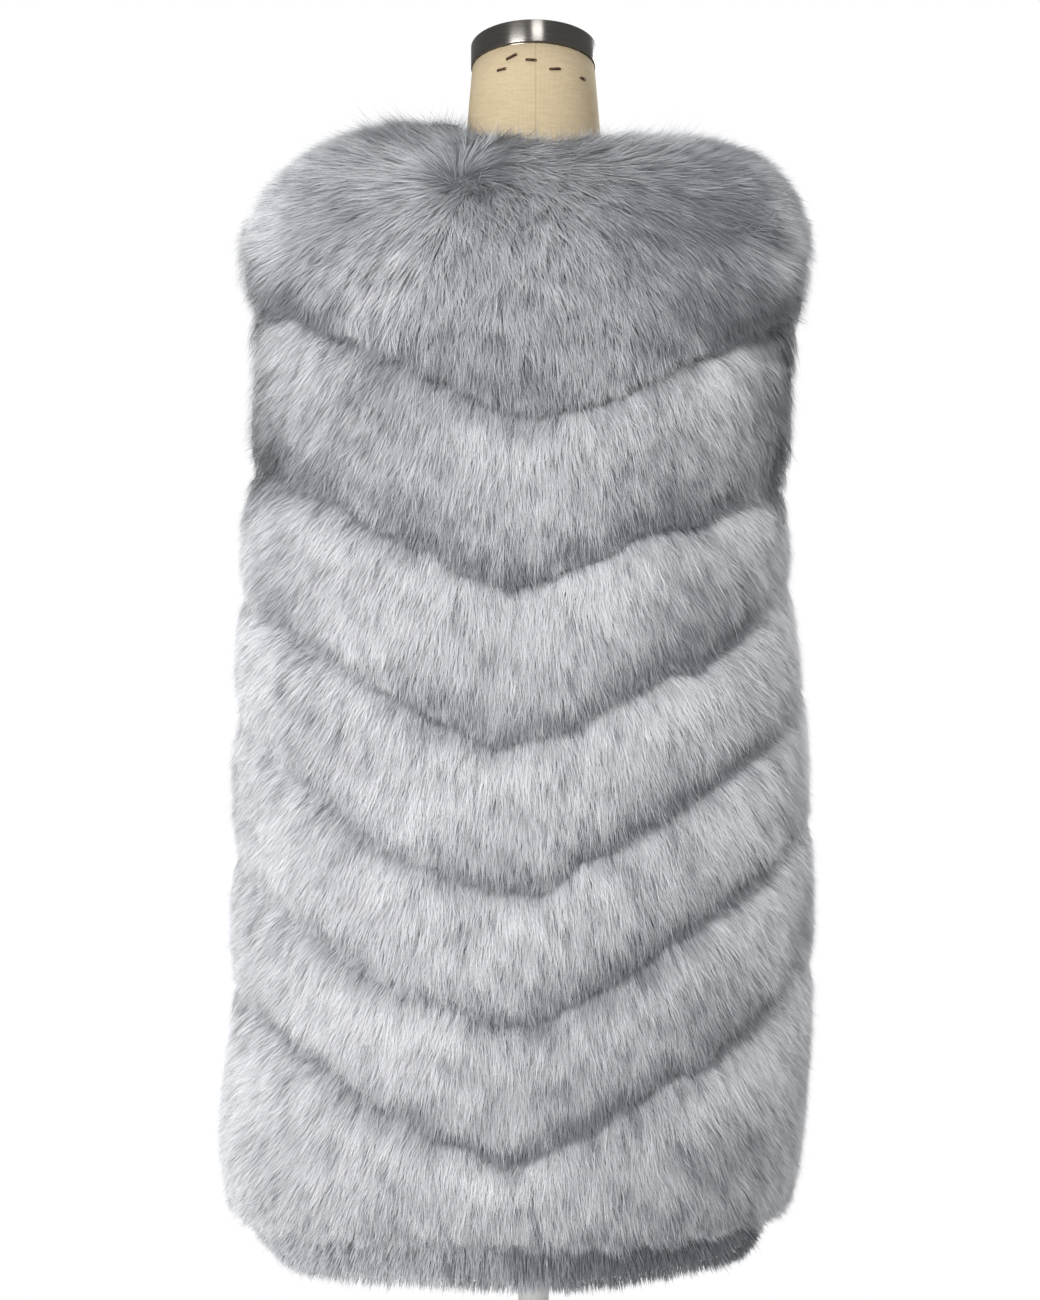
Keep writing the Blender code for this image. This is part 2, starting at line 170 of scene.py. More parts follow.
# Two kinds of hair. The coat is what one sees as the fur's surface: each hair is one long
# thin triangle. The longer guard hairs bend over it, and make the soft rim of the outline.
Hair = namedtuple("Hair", "length width root rise points back front")
COAT = Hair(24 * MM, 0.66 * MM, 0.80, 1.0 * MM, 2, 500_000, 250_000)
GUARD = Hair(38 * MM, 0.50 * MM, 0.74, 2.0 * MM, 3, 34_000, 16_000)
RIM_LENGTH = 25 * MM  # of the hairs that cover the pile's side round the armholes
RIM_HAIRS = 330_000  # for each square metre of that side
FRONT_WIDTH = 1.25  # hairs are this much wider on the fronts, where there are fewer
HEM_LENGTH = 0.36  # share of a hair's length on the hem strip
SHORN = 0.65  # share of a hair's way from root to tip there: its pale tip is cut off
NECK_HAIR = 0.09  # share of the way down the yoke where most hairs stand upright
UNDERCOAT = 0.70  # its height, as a share of the pile's depth
HUNG = 0.84  # depth of the tufts that hang over a groove, as a share of the pile's
SPREAD = 8  # degrees by which a hair is turned from its neighbours
STRAY_SHARE = 0.05  # share of the hairs that stray, which stand off too
STRAY_SPREAD = 18  # degrees by which these are turned from their neighbours
MOST_LIFT = 6 * MM  # of a hair's tip off the pile's surface, strays and locks left aside
LOCK = (5 * MM, 10 * MM)  # width and length of the locks that lean their tips together
# Painted shade: the hair of these cells is drawn darker, as the shade of the gaps between
# hairs.
PAINTED_GAP = (1.7 * MM, 13 * MM)  # the same of the fine dark gaps that show between hairs
PAINTED_GAP_LOTS = 0.14  # share of the cells of that size that are gaps
USUAL_TONE = 0.68  # of a hair, where 0 is the darkest and 1 the palest
BACKING = 1.6 * MM  # thickness of the knit
AROUND = 0.22  # metres round the body for each radian, near enough for patterns
AROUND_NECK = 0.13  # the same near the neckline


# ------------------------------------------------- places on the cloth
def ripple(x, y, seed, size):
    """Soft uneven swells from -1 to 1, about this size, that run on from piece to piece.
    Each pattern has a seed of its own."""
    draw = np.random.default_rng(seed)
    total = 0
    for _ in range(7):
        way = draw.uniform(0, 2 * pi)
        waves = 2 * pi / size * draw.uniform(0.6, 1.5)
        shift = draw.uniform(0, 2 * pi)
        total = total + np.sin(waves * (x * cos(way) + y * sin(way)) + shift)
    return total / 3


def smooth_step(share):
    share = np.clip(share, 0, 1)
    return share * share * (3 - 2 * share)


def read_table(rows, column, height):
    """A column of a table at these heights, on a smooth curve through its rows."""
    heights = np.array([row.height for row in rows])
    values = np.array([getattr(row, column) for row in rows])
    slopes = np.empty_like(values)
    slopes[1:-1] = (values[2:] - values[:-2]) / (heights[2:] - heights[:-2])
    slopes[0] = (values[1] - values[0]) / (heights[1] - heights[0])
    slopes[-1] = (values[-1] - values[-2]) / (heights[-1] - heights[-2])
    height = np.clip(height, heights[0], heights[-1])
    lower = np.clip(np.searchsorted(heights, height) - 1, 0, len(rows) - 2)
    step = heights[lower + 1] - heights[lower]
    t = (height - heights[lower]) / step
    return (
        (2 * t**3 - 3 * t**2 + 1) * values[lower]
        + (t**3 - 2 * t**2 + t) * step * slopes[lower]
        + (3 * t**2 - 2 * t**3) * values[lower + 1]
        + (t**3 - t**2) * step * slopes[lower + 1]
    )


def rounded(value, power):
    return np.copysign(np.abs(value) ** power, value)


def body_point(angle, height):
    """Points of the backing below the shoulders."""
    left, right, back, front = (
        read_table(SECTIONS, column, height)
        for column in ("left", "right", "back", "front")
    )
    across = rounded(np.sin(angle), ROUNDNESS)
    along = rounded(np.cos(angle), ROUNDNESS)
    return np.stack(
        (
            across * np.where(across > 0, left, right),
            along * np.where(along > 0, back, front),
            height + 0 * angle,
        ),
        axis=-1,
    )


def quarter_value(angle, column):
    """A size of the shoulder curve, between those at back, side and front."""
    left, right = getattr(LEFT_CURVE, column), getattr(RIGHT_CURVE, column)
    back, front = getattr(BACK_CURVE, column), getattr(FRONT_CURVE, column)
    at_side = np.where(np.sin(angle) > 0, left, right)
    at_end = np.where(np.cos(angle) > 0, back, front)
    value = at_side * np.sin(angle) ** 2 + at_end * np.cos(angle) ** 2
    return value[..., None]


def shoulder_point(angle, share):
    """Points of the backing on the curve from the body's top (0) to the neckline (1)."""
    outward = np.stack((np.sin(angle), np.cos(angle), 0 * angle), axis=-1)
    up = np.array((0.0, 0.0, 1.0))
    start = body_point(angle, BODY_TOP + 0 * angle)
    end = outward * quarter_value(angle, "neck_out")
    end = end + up * quarter_value(angle, "neck_height")
    first = start + outward * quarter_value(angle, "spread")
    first = first + up * quarter_value(angle, "rise")
    second = end + outward * quarter_value(angle, "out")
    second = second - up * quarter_value(angle, "below")
    share = share[..., None]
    rest = 1 - share
    return (
        start * rest**3
        + first * (3 * rest**2 * share)
        + second * (3 * rest * share**2)
        + end * share**3
    )


def backing_point(angle, climb):
    angle, climb = np.broadcast_arrays(angle, climb)
    body = body_point(angle, np.minimum(climb, BODY_TOP))
    share = np.maximum(0, (climb - BODY_TOP) / SHOULDER_CLIMB)
    over = (climb > BODY_TOP)[..., None]
    return np.where(over, shoulder_point(angle, share), body)


def length_of(vectors):
    return np.linalg.norm(vectors, axis=-1, keepdims=True)


def unit(vectors):
    return vectors / np.maximum(length_of(vectors), 1e-9)


def frame_at(angle, climb):
    """The cloth's outward normals, its directions round the body and its directions up."""
    turn, step = radians(0.5), 15 * MM
    round_body = backing_point(angle + turn, climb) - backing_point(angle - turn, climb)
    high = np.minimum(NECKLINE, climb + step)
    low = np.maximum(SECTIONS[0].height, climb - step)
    upward = backing_point(angle, high) - backing_point(angle, low)
    return unit(np.cross(upward, round_body)), unit(round_body), unit(upward)


def seam_climb(seam, angle):
    """The climb of a chevron seam: lowest at its apex and at the front edges."""
    if seam is None:
        return NECKLINE + 0 * angle
    at_back = np.cos(angle) > 0
    middle = np.where(at_back, seam.back, seam.front)
    apex = np.where(at_back, seam.apex, np.copysign(pi, angle))
    left_part = np.where(at_back, angle > apex, angle > 0)
    side = np.where(left_part, seam.left, seam.right)
    share = (angle - apex) / (np.where(left_part, pi / 2, -pi / 2) - apex)
    return middle + (side - middle) * (np.sin(share * pi / 2) + share) / 2


def groove_climb(seam, angle):
    """Where the pile parts over a seam, which isn't quite along it."""
    climb = seam_climb(seam, angle)
    if seam not in STRIP_SEAMS:
        return climb
    stray = 3 * ripple(angle * AROUND, climb, 31, 0.06)
    for middle, reach, rise in STRAYS[STRIP_SEAMS.index(seam)]:
        stray = stray + rise * np.exp(-(((np.degrees(angle) - middle) / reach) ** 2))
    return climb + stray * MM


def near_side(angle):
    """1 at the sides of the body, 0 on its back and front."""
    return smooth_step((np.abs(np.sin(angle)) - 0.78) / 0.20)


def armhole_angle(climb):
    """Half the angle that the armhole takes out of the cloth at this climb."""
    share = (climb - ARMHOLE_BOTTOM) / (ARMHOLE_TOP - ARMHOLE_BOTTOM)
    from_middle = np.minimum(1, np.abs(2 * share - 1))
    return ARMHOLE_HALF_ANGLE * np.sqrt(1 - from_middle**ARMHOLE_SHAPE)


def near_rim(angle, climb, reach):
    """1 at the armhole's edge, 0 at this angle round the body away from it."""
    opening = armhole_angle(climb)
    from_rim = np.abs(pi / 2 - np.abs(angle)) - opening
    return smooth_step(1 - from_rim / reach) * smooth_step(opening / radians(4))


class Cut:
    """A strip or yoke of the gilet: its roll and its two seams."""

    def __init__(self, name, row, roll, upper, lower):
        self.name = name
        self.row = row
        self.roll = roll
        self.upper = upper
        self.lower = lower

    def sewn(self, angle, along):
        """The climb at this share of the way from the upper seam to the lower one."""
        top = seam_climb(self.upper, angle)
        return top + (seam_climb(self.lower, angle) - top) * along

    def climb(self, angle, along):
        """The same for the pile, from the upper groove to the lower one."""
        top = groove_climb(self.upper, angle)
        return top + (groove_climb(self.lower, angle) - top) * along

    def along(self, angle, climb):
        top = groove_climb(self.upper, angle)
        return (top - climb) / (top - groove_climb(self.lower, angle))

    def pile(self, angle, climb, panel):
        """The backing, the way the pile stands on it, and its depth at these places."""
        along = self.along(angle, climb)
        base = backing_point(angle, climb)
        normal, round_body, upward = frame_at(angle, climb)
        side = np.where(angle >= 0, 1, -1)
        end = side * (pi / 2 - panel * armhole_angle(climb))
        edge = backing_point(end, climb)
        half_gap = length_of(backing_point(side * pi / 2, climb) - edge)
        most = np.minimum(EDGE_LEAN, GAP_SHARE * half_gap / PILE)
        lean = side[..., None] * panel * most
        lean = lean * smooth_step(1 - length_of(base - edge) / EDGE_REACH)
        lean = lean * smooth_step((climb - ARMHOLE_BOTTOM) / EDGE_RISE)[..., None]
        outward = normal + round_body * lean
        if self.upper is None:
            at_neck = NECK_LEAN * smooth_step(1 - along / NECK_REACH)
            outward = outward + upward * at_neck[..., None]
        if self.lower is HEM:
            at_hem = HEM_LEAN * np.clip(along, 0, 1) * (1 - 0.65 * near_side(angle))
            outward = outward - upward * at_hem[..., None]
        swell = 1 + SWELL * np.sin(SWELLS_ROUND * angle + SWELL_SHIFT * (self.row + along))
        share = np.interp(along, self.roll.places, self.roll.depths)
        share = share * (1 - RIGHT_FLATTER * near_side(angle) * (angle < 0))
        if self.lower is HEM:
            share = share * (1 - 0.20 * near_side(angle))
        else:
            filled = np.maximum(share, FILLED - np.maximum(0, along - 1))
            at_side = np.maximum(near_side(angle), near_rim(angle, climb, radians(6)))
            share = share + (filled - share) * SIDE_FILL * at_side
        return base, outward, PILE * share * swell

    def turn(self, angle, along):
        """How far the hair is turned from straight down, towards +X."""
        degrees = np.degrees(angle)
        strip_turn = np.sign(degrees) * np.interp(np.abs(degrees), TURN_AT, TURNED)
        if self.upper is not None:
            # By the armhole towards -X the hair hangs straighter.
            at_rim = near_rim(angle, self.climb(angle, along), radians(40)) * (angle < 0)
            return np.radians(strip_turn * (1 - 0.7 * at_rim))
        rows = [np.interp(degrees, YOKE_COLUMNS, turns) for turns in YOKE_TURNS.values()]
        rows.append(strip_turn)
        shares = list(YOKE_TURNS) + [1.0]
        place = np.interp(along, shares, range(len(shares)))
        lower = np.clip(place.astype(int), 0, len(shares) - 2)
        rows = np.stack(rows)
        across = np.arange(len(angle))
        first, second = rows[lower, across], rows[lower + 1, across]
        combed = np.radians(first + (second - first) * (place - lower))
        combed = combed + 0.15 * ripple(angle * AROUND, along * 0.25, 51, 0.012)
        # From the whorl the hair stands out all round, and up to the neckline above it.
        aside = (angle - WHORL.angle) * AROUND_NECK
        above = self.climb(angle, along) - WHORL.climb
        reach = np.hypot(aside, np.minimum(above, 0.3 * above)) / WHORL_REACH
        share = 0.7 * np.exp(-(reach**2))
        spread = np.arctan2(aside, -above) + 0.5
        return np.arctan2(
            np.sin(combed) * (1 - share) + np.sin(spread) * share,
            np.cos(combed) * (1 - share) + np.cos(spread) * share,
        )


# ------------------------------------------------- the hair
# Painted shade on the yoke's hair from side to side, in all and at its top besides: it is
# drawn darker on the shoulders and round the parting, and where a value is below 0 it is
# drawn paler instead, as painted light. The places are mm towards +X.
YokePaintedShade = namedtuple("YokePaintedShade", "across whole top")
YOKE_PAINTED_SHADES = (
    YokePaintedShade(across=-190, whole=0.46, top=-0.08),
    YokePaintedShade(across=-140, whole=0.64, top=-0.20),
    YokePaintedShade(across=-60, whole=0.38, top=-0.20),
    YokePaintedShade(across=50, whole=0.14, top=0.40),
    YokePaintedShade(across=130, whole=0.28, top=0.26),
    YokePaintedShade(across=210, whole=0.42, top=0.00),
    YokePaintedShade(across=250, whole=0.50, top=0.00),
)
# Painted shade: how much darker the hair over each groove is drawn, at the back's left and at
# its right.
GroovePaintedShade = namedtuple("GroovePaintedShade", "left right")
GROOVE_PAINTED_SHADES = (
    GroovePaintedShade(left=0.22, right=0.44),
    GroovePaintedShade(left=0.32, right=0.88),
    GroovePaintedShade(left=0.28, right=0.78),
    GroovePaintedShade(left=0.14, right=0.76),
    GroovePaintedShade(left=0.14, right=0.76),
    GroovePaintedShade(left=0.38, right=0.78),
    GroovePaintedShade(left=0.16, right=0.37),
)
# Patches of the back where the hair is drawn darker than round about, in mm and shares of tone.
Patch = namedtuple("Patch", "across height reach darker")
PATCHES = (
    Patch(across=-140, height=1270, reach=50, darker=0.28),
    Patch(across=90, height=1160, reach=50, darker=0.30),
    Patch(across=190, height=1110, reach=65, darker=0.26),
    Patch(across=-135, height=1000, reach=40, darker=0.25),
    Patch(across=-75, height=715, reach=45, darker=0.32),
    Patch(across=-60, height=590, reach=70, darker=0.24),
    Patch(across=-135, height=555, reach=35, darker=0.20),
    Patch(across=95, height=520, reach=55, darker=0.22),
    Patch(across=-10, height=1150, reach=35, darker=0.20),
    Patch(across=-95, height=1090, reach=45, darker=0.14),
)


class PileMap:
    """The pile over one piece, worked out on a grid and read between the grid's points."""

    PLACES_ROUND = 160
    PLACES_UP = 140
    # How far it reaches past the piece's sides, below it and above it.
    PAST_SIDES = 0.15
    PAST_LOWER = 60 * MM
    PAST_UPPER = 30 * MM

    def __init__(self, cut, panel, sides):
        self.cut = cut
        self.panel = panel
        self.sides = sides
        first, last = sides[0] - self.PAST_SIDES, sides[1] + self.PAST_SIDES
        self.angles = np.linspace(first, last, self.PLACES_ROUND)
        low = cut.climb(self.angles, 1).min() - self.PAST_LOWER
        high = cut.climb(self.angles, 0).max() + self.PAST_UPPER
        self.climbs = np.linspace(low, high, self.PLACES_UP)
        angle, climb = np.meshgrid(self.angles, self.climbs, indexing="ij")
        base, outward, depth = cut.pile(angle, climb, panel)
        round_body = frame_at(angle, climb)[1]
        self.values = np.concatenate((base, outward, round_body, depth[..., None]), -1)

    def read(self, angle, climb):
        across = np.interp(angle, self.angles, range(len(self.angles)))
        up = np.interp(climb, self.climbs, range(len(self.climbs)))
        i = np.minimum(across.astype(int), len(self.angles) - 2)
        j = np.minimum(up.astype(int), len(self.climbs) - 2)
        x, y = (across - i)[:, None], (up - j)[:, None]
        lower = self.values[i, j] * (1 - x) + self.values[i + 1, j] * x
        upper = self.values[i, j + 1] * (1 - x) + self.values[i + 1, j + 1] * x
        value = lower * (1 - y) + upper * y
        return value[:, 0:3], value[:, 3:6], value[:, 6:9], value[:, 9]

    def outer(self, angle, climb):
        base, outward, _, depth = self.read(angle, climb)
        return base + outward * depth[:, None]


def strew(pile, count, draw):
    """Places for this many hairs, as many to the square metre all over the piece."""
    columns, rows = 120, 40
    angle = np.linspace(*pile.sides, columns + 1)[:, None] + np.zeros(rows + 1)
    along = np.linspace(0, 1, rows + 1) + np.zeros((columns + 1, 1))
    climb = pile.cut.climb(angle, along)
    outer = pile.outer(angle.ravel(), climb.ravel()).reshape(*angle.shape, 3)
    over, down = outer[1:, :-1] - outer[:-1, :-1], outer[:-1, 1:] - outer[:-1, :-1]
    area = length_of(np.cross(over, down))[..., 0]
    from_side = np.abs(np.abs(angle[1:, 1:] + angle[:-1, :-1]) / 2 - pi / 2)
    on_cloth = from_side >= armhole_angle((climb[1:, 1:] + climb[:-1, :-1]) / 2)
    area = (area * on_cloth).ravel()
    cell = draw.choice(area.size, size=count, p=area / area.sum())
    column, row = np.unravel_index(cell, (columns, rows))
    angle = np.interp(column + draw.random(count), range(columns + 1), angle[:, 0])
    return angle, (row + draw.random(count)) / rows


LOTS = 4096
# Two primes, which deal the lots out to the cells with no pattern that shows.
COLUMN_STEP, ROW_STEP = 7919, 104729


def locks(around, climb, across, down, seed):
    """The middles of the small cells that places fall in, and each cell's own lot."""
    # The cells are laid in columns that start at uneven heights.
    lots = np.random.default_rng(seed).random((LOTS, 3))
    column = np.floor(around / across).astype(int)
    row = np.floor(climb / down + lots[column * COLUMN_STEP % LOTS, 0]).astype(int)
    own = lots[(column * COLUMN_STEP + row * ROW_STEP) % LOTS]
    return (column + own[:, 1]) * across, own[:, 2]


def thinned(count):
    return int(count / (1))


def comb(pile, hair, angle, along, length, draw):
    """The hairs' points from root to tip, the pile's way out at each, and their locks."""
    cut, panel, count = pile.cut, pile.panel, len(angle)
    climb = cut.climb(angle, along)
    here = pile.outer(angle, climb)
    # How far the pile's surface runs for each radian round and for each metre of climb.
    a_turn, a_step = radians(1), 5 * MM
    per_angle = length_of(pile.outer(angle + a_turn, climb) - here)[:, 0] / a_turn
    per_climb = length_of(pile.outer(angle, climb - a_step) - here)[:, 0] / a_step
    per_angle, per_climb = np.maximum(per_angle, 0.03), np.maximum(per_climb, 0.5)

    around = angle * AROUND
    drift = 6 * ripple(around, climb, 11, 0.055) + 3 * ripple(around, climb, 12, 0.02)
    turn = cut.turn(angle, along) + np.radians(drift + draw.normal(0, SPREAD, count))
    stray = draw.random(count) < STRAY_SHARE
    turn = turn + np.radians(np.where(stray, draw.normal(0, STRAY_SPREAD, count), 0))
    lift = np.minimum(draw.exponential(hair.rise, count), MOST_LIFT)
    lift = lift + stray * draw.uniform(1, 5, count) * MM
    # Locks: hairs of one small cell lean their tips together, and stand off together.
    middle, lot = locks(around, climb, *LOCK, 5)
    toward = (middle - around) * 0.25 * draw.random(count)
    lift = lift + (6 if cut.upper is None else 3) * MM * lot**3
    if cut.upper is None:
        # On the shoulders and round the neck the hair stands up more, most of all in the
        # whorl and at the edge, where it stands past the cloth.
        high = smooth_step((0.5 - along) / 0.4)
        lift = lift + draw.exponential(3.5 * MM, count) * high
        upright = (along < NECK_HAIR) & (draw.random(count) < 0.75)
        turn = np.where(upright, pi + draw.normal(0, 0.6, count), turn)
        tousled = draw.random(count) < hollow_shade(angle, climb)
        turn = turn + np.where(tousled, draw.normal(0, 0.9, count), 0)
        length = np.where(upright | tousled, length * 0.5, length)
    # Over a groove the tufts that hang don't sink in with the others.
    hung = PILE * HUNG if cut.lower in STRIP_SEAMS else 0
    hung = np.where(draw.random(count) < 0.4 + 0.3 * ripple(around, climb, 43, 0.03), hung, 0)

    root = np.interp(along, (0, 0.12, 0.3), (1.0, 0.92, hair.root))
    if cut.upper is None:
        root = np.where(upright, 0.5, root)
    side = np.where(angle < 0, -1, 1)
    points, ways = [], []
    for share in np.linspace(0, 1, hair.points):
        bent = angle + (length * share * np.sin(turn) + toward * share) / per_angle
        fallen = climb - length * share * np.cos(turn) / per_climb
        opening = armhole_angle(fallen)
        rim = pi / 2 - panel * opening
        # Hair that would reach past the armhole's edge stays on it and stands out aside.
        past = np.where(opening > 0.001, panel * (np.abs(bent) - rim), 0)
        past = np.maximum(past, 0)
        base, outward, round_body, depth = pile.read(bent - side * panel * past, fallen)
        depth = np.where(cut.along(bent, fallen) > 0.97, np.maximum(depth, hung), depth)
        rise = root + (1 - root) * smooth_step(share * 1.25)
        out = unit(outward)
        point = base + outward * (depth * rise)[:, None] + out * (lift * share**2)[:, None]
        over = side * panel * np.minimum(past * per_angle, 9 * MM)
        points.append(point + round_body * over[:, None])
        ways.append(out)
    return points, ways, lot


def ribbons(points, ways, widths, draw):
    """Each hair as a ribbon that ends in a point: its corners and triangles."""
    count = len(widths)
    roll = draw.normal(0, radians(15), count)[:, None]
    corners = []
    for place, (point, way) in enumerate(zip(points[:-1], ways)):
        tangent = unit(points[place + 1] - points[max(0, place - 1)])
        side = unit(np.cross(tangent, way))
        side = side * np.cos(roll) + np.cross(tangent, side) * np.sin(roll)
        half = side * widths[:, None] / 2
        corners += [point - half, point + half]
    corners.append(points[-1])
    pattern = ((0, 1, 2),) if len(points) == 2 else ((0, 1, 3), (0, 3, 2), (2, 3, 4))
    first = len(corners) * np.arange(count)[:, None, None]
    triangles = (first + np.array(pattern)).reshape(-1, 3)
    return np.stack(corners, axis=1).reshape(-1, 3), triangles


def mesh_object(name, corners, triangles, uv, finish):
    """A smooth mesh object from arrays, with its own flat map when one is given."""
    mesh = bpy.data.meshes.new(name)
    mesh.vertices.add(len(corners))
    mesh.vertices.foreach_set("co", corners.astype(np.float32).ravel())
    mesh.loops.add(triangles.size)
    mesh.loops.foreach_set("vertex_index", triangles.astype(np.int32).ravel())
    mesh.polygons.add(len(triangles))
    mesh.polygons.foreach_set("loop_start", np.arange(0, triangles.size, 3, np.int32))
    mesh.update(calc_edges=True)
    mesh.shade_smooth()
    if uv is not None:
        layer = mesh.uv_layers.new(name="OFBake")
        layer.uv.foreach_set("vector", uv[triangles.ravel()].astype(np.float32).ravel())
    mesh.materials.append(finish)
    made = bpy.data.objects.new(name, mesh)
    bpy.context.scene.collection.objects.link(made)
    return made


def ends_of(cut, panel, side, alongs):
    """The angle where each row of a back (1) or front (-1) panel ends at the side."""
    half_seam = (SEAM_GAP / 2 / SECTIONS[0].back) ** (1 / ROUNDNESS)
    on_cloth = np.full(len(alongs), pi / 2 - panel * ARMHOLE_HALF_ANGLE)
    past_end = np.full(len(alongs), pi / 2)
    for _ in range(30):
        angle = (on_cloth + past_end) / 2
        climb = cut.climb(side * angle, alongs)
        inside = np.abs(pi / 2 - angle) > np.maximum(half_seam, armhole_angle(climb))
        on_cloth = np.where(inside, angle, on_cloth)
        past_end = np.where(inside, past_end, angle)
    return on_cloth


def front_edge():
    return pi - (FRONT_GAP / 2 / SECTIONS[0].left) ** (1 / ROUNDNESS)


def panel_grid(cut, panel, side, columns, alongs):
    """The angles of a piece's grid, one row of them for each share of the way down."""
    if panel == 1:
        right = ends_of(cut, 1, -1, alongs)[:, None]
        left = ends_of(cut, 1, 1, alongs)[:, None]
        share = np.linspace(-1, 1, 2 * columns + 1)
        return np.where(share < 0, share * right, share * left)
    end = ends_of(cut, -1, side, alongs)[:, None]
    return side * (end + (front_edge() - end) * np.linspace(0, 1, columns + 1))


def shell(outer, inner):
    """Corners and outward triangles of a closed body between two grids of places."""
    rows, columns = outer.shape[:2]
    corners = np.concatenate((outer.reshape(-1, 3), inner.reshape(-1, 3)))
    index = np.arange(rows * columns).reshape(rows, columns)
    under = index + rows * columns

    def patches(a, b, c, d):
        a, b, c, d = (np.ravel(x) for x in (a, b, c, d))
        return np.concatenate((np.stack((a, b, c), 1), np.stack((a, c, d), 1)))

    parts = [
        patches(index[:-1, :-1], index[1:, :-1], index[1:, 1:], index[:-1, 1:]),
        patches(under[:-1, :-1], under[:-1, 1:], under[1:, 1:], under[1:, :-1]),
    ]
    rim = np.concatenate((index[0, :-1], index[:-1, -1], index[-1, :0:-1], index[:0:-1, 0]))
    following = np.roll(rim, -1)
    wall = rim + rows * columns
    following_wall = following + rows * columns
    parts.append(patches(rim, following, following_wall, wall))
    return corners, np.concatenate(parts)


def facing_out(corners, triangles):
    """The same triangles, turned so that the closed body's volume counts as positive."""
    a, b, c = (corners[triangles[:, i]] for i in range(3))
    volume = np.einsum("ij,ij->i", a, np.cross(b, c)).sum()
    return triangles if volume > 0 else triangles[:, ::-1]


# A piece's share is its part of all the back's cloth, or of both the fronts'.
Piece = namedtuple("Piece", "name cut panel side share")


def make_backing(piece):
    """The knitted ground of the fur, which is the sheet that is cut and sewn."""
    alongs = np.linspace(0, 1, 9)
    angle = panel_grid(piece.cut, piece.panel, piece.side, 16, alongs)
    climb = piece.cut.sewn(angle, alongs[:, None])
    base = backing_point(angle, climb)
    normal, _, upward = frame_at(angle, climb)
    if piece.cut.upper is not None:
        base[0] -= upward[0] * SEAM_GAP / 2
    if piece.cut.lower is not HEM:
        base[-1] += upward[-1] * SEAM_GAP / 2
    corners, triangles = shell(base + normal * BACKING, base)
    triangles = facing_out(corners, triangles)
    return mesh_object(f"{piece.name}_backing", corners, triangles, None, finishes["knit"])


def make_undercoat(piece, draw):
    """The dense short wool between the hairs, as a closed body on the backing."""
    alongs = np.array((0, 0.03, 0.07, 0.14, 0.25, 0.4, 0.55, 0.7, 0.82, 0.9, 0.96, 1))
    angle = panel_grid(piece.cut, piece.panel, piece.side, 24, alongs)
    climb = piece.cut.climb(angle, alongs[:, None])
    base, outward, depth = piece.cut.pile(angle, climb, piece.panel)
    inner = base + frame_at(angle, climb)[0] * BACKING * 1.1
    outer = base + outward * (depth * UNDERCOAT)[..., None]
    corners, triangles = shell(outer, inner)
    # Painted shade: the undercoat is drawn dark, as the shade deep in the pile, paler towards
    # the strip's top as painted light, and darker still on its inner side.
    tone = np.repeat(draw.uniform(0.2, 0.6, angle.shape[1])[None], len(alongs), 0)
    pale = np.interp(alongs, (0, 0.15, 0.4), (0.6, 0.4, 0.2))
    down = np.repeat(pale[:, None], angle.shape[1], 1)
    uv = np.stack((tone, down), -1).reshape(-1, 2)
    return corners, facing_out(corners, triangles), np.concatenate((uv, uv * (1, 0.4)))


def hollow_shade(angle, climb):
    """How deep in a hollow of the parting each place is, from 0 to 1."""
    deep = 0
    for hollow in HOLLOWS:
        aside = (angle - hollow.angle) * AROUND_NECK
        reach = np.hypot(aside, climb - hollow.climb) / hollow.reach
        deep = np.maximum(deep, np.exp(-(reach**2)))
    return deep


def hair_lengths(cut, hair, angle, along, draw):
    """How long each hair is: cut off level at the hem, ragged over a groove."""
    climb = cut.climb(angle, along)
    around = angle * AROUND
    usual = hair.length * (HEM_LENGTH if cut.lower is HEM else 1)
    length = usual * draw.uniform(0.72, 1.12, len(angle))
    room = (1 - along) * (cut.climb(angle, 0) - cut.climb(angle, 1))
    if cut.lower is HEM:
        return np.minimum(length, room + (4 + ripple(around, climb, 41, 0.018)) * MM)
    fringe = 7 + 5 * ripple(around, 0, 41, 0.018) + 3 * ripple(around, climb, 42, 0.06)
    fringe = np.clip(fringe + draw.normal(0, 2.5, len(angle)), 1, 18) * MM
    return np.minimum(length, np.maximum(room + fringe, 0.35 * usual))


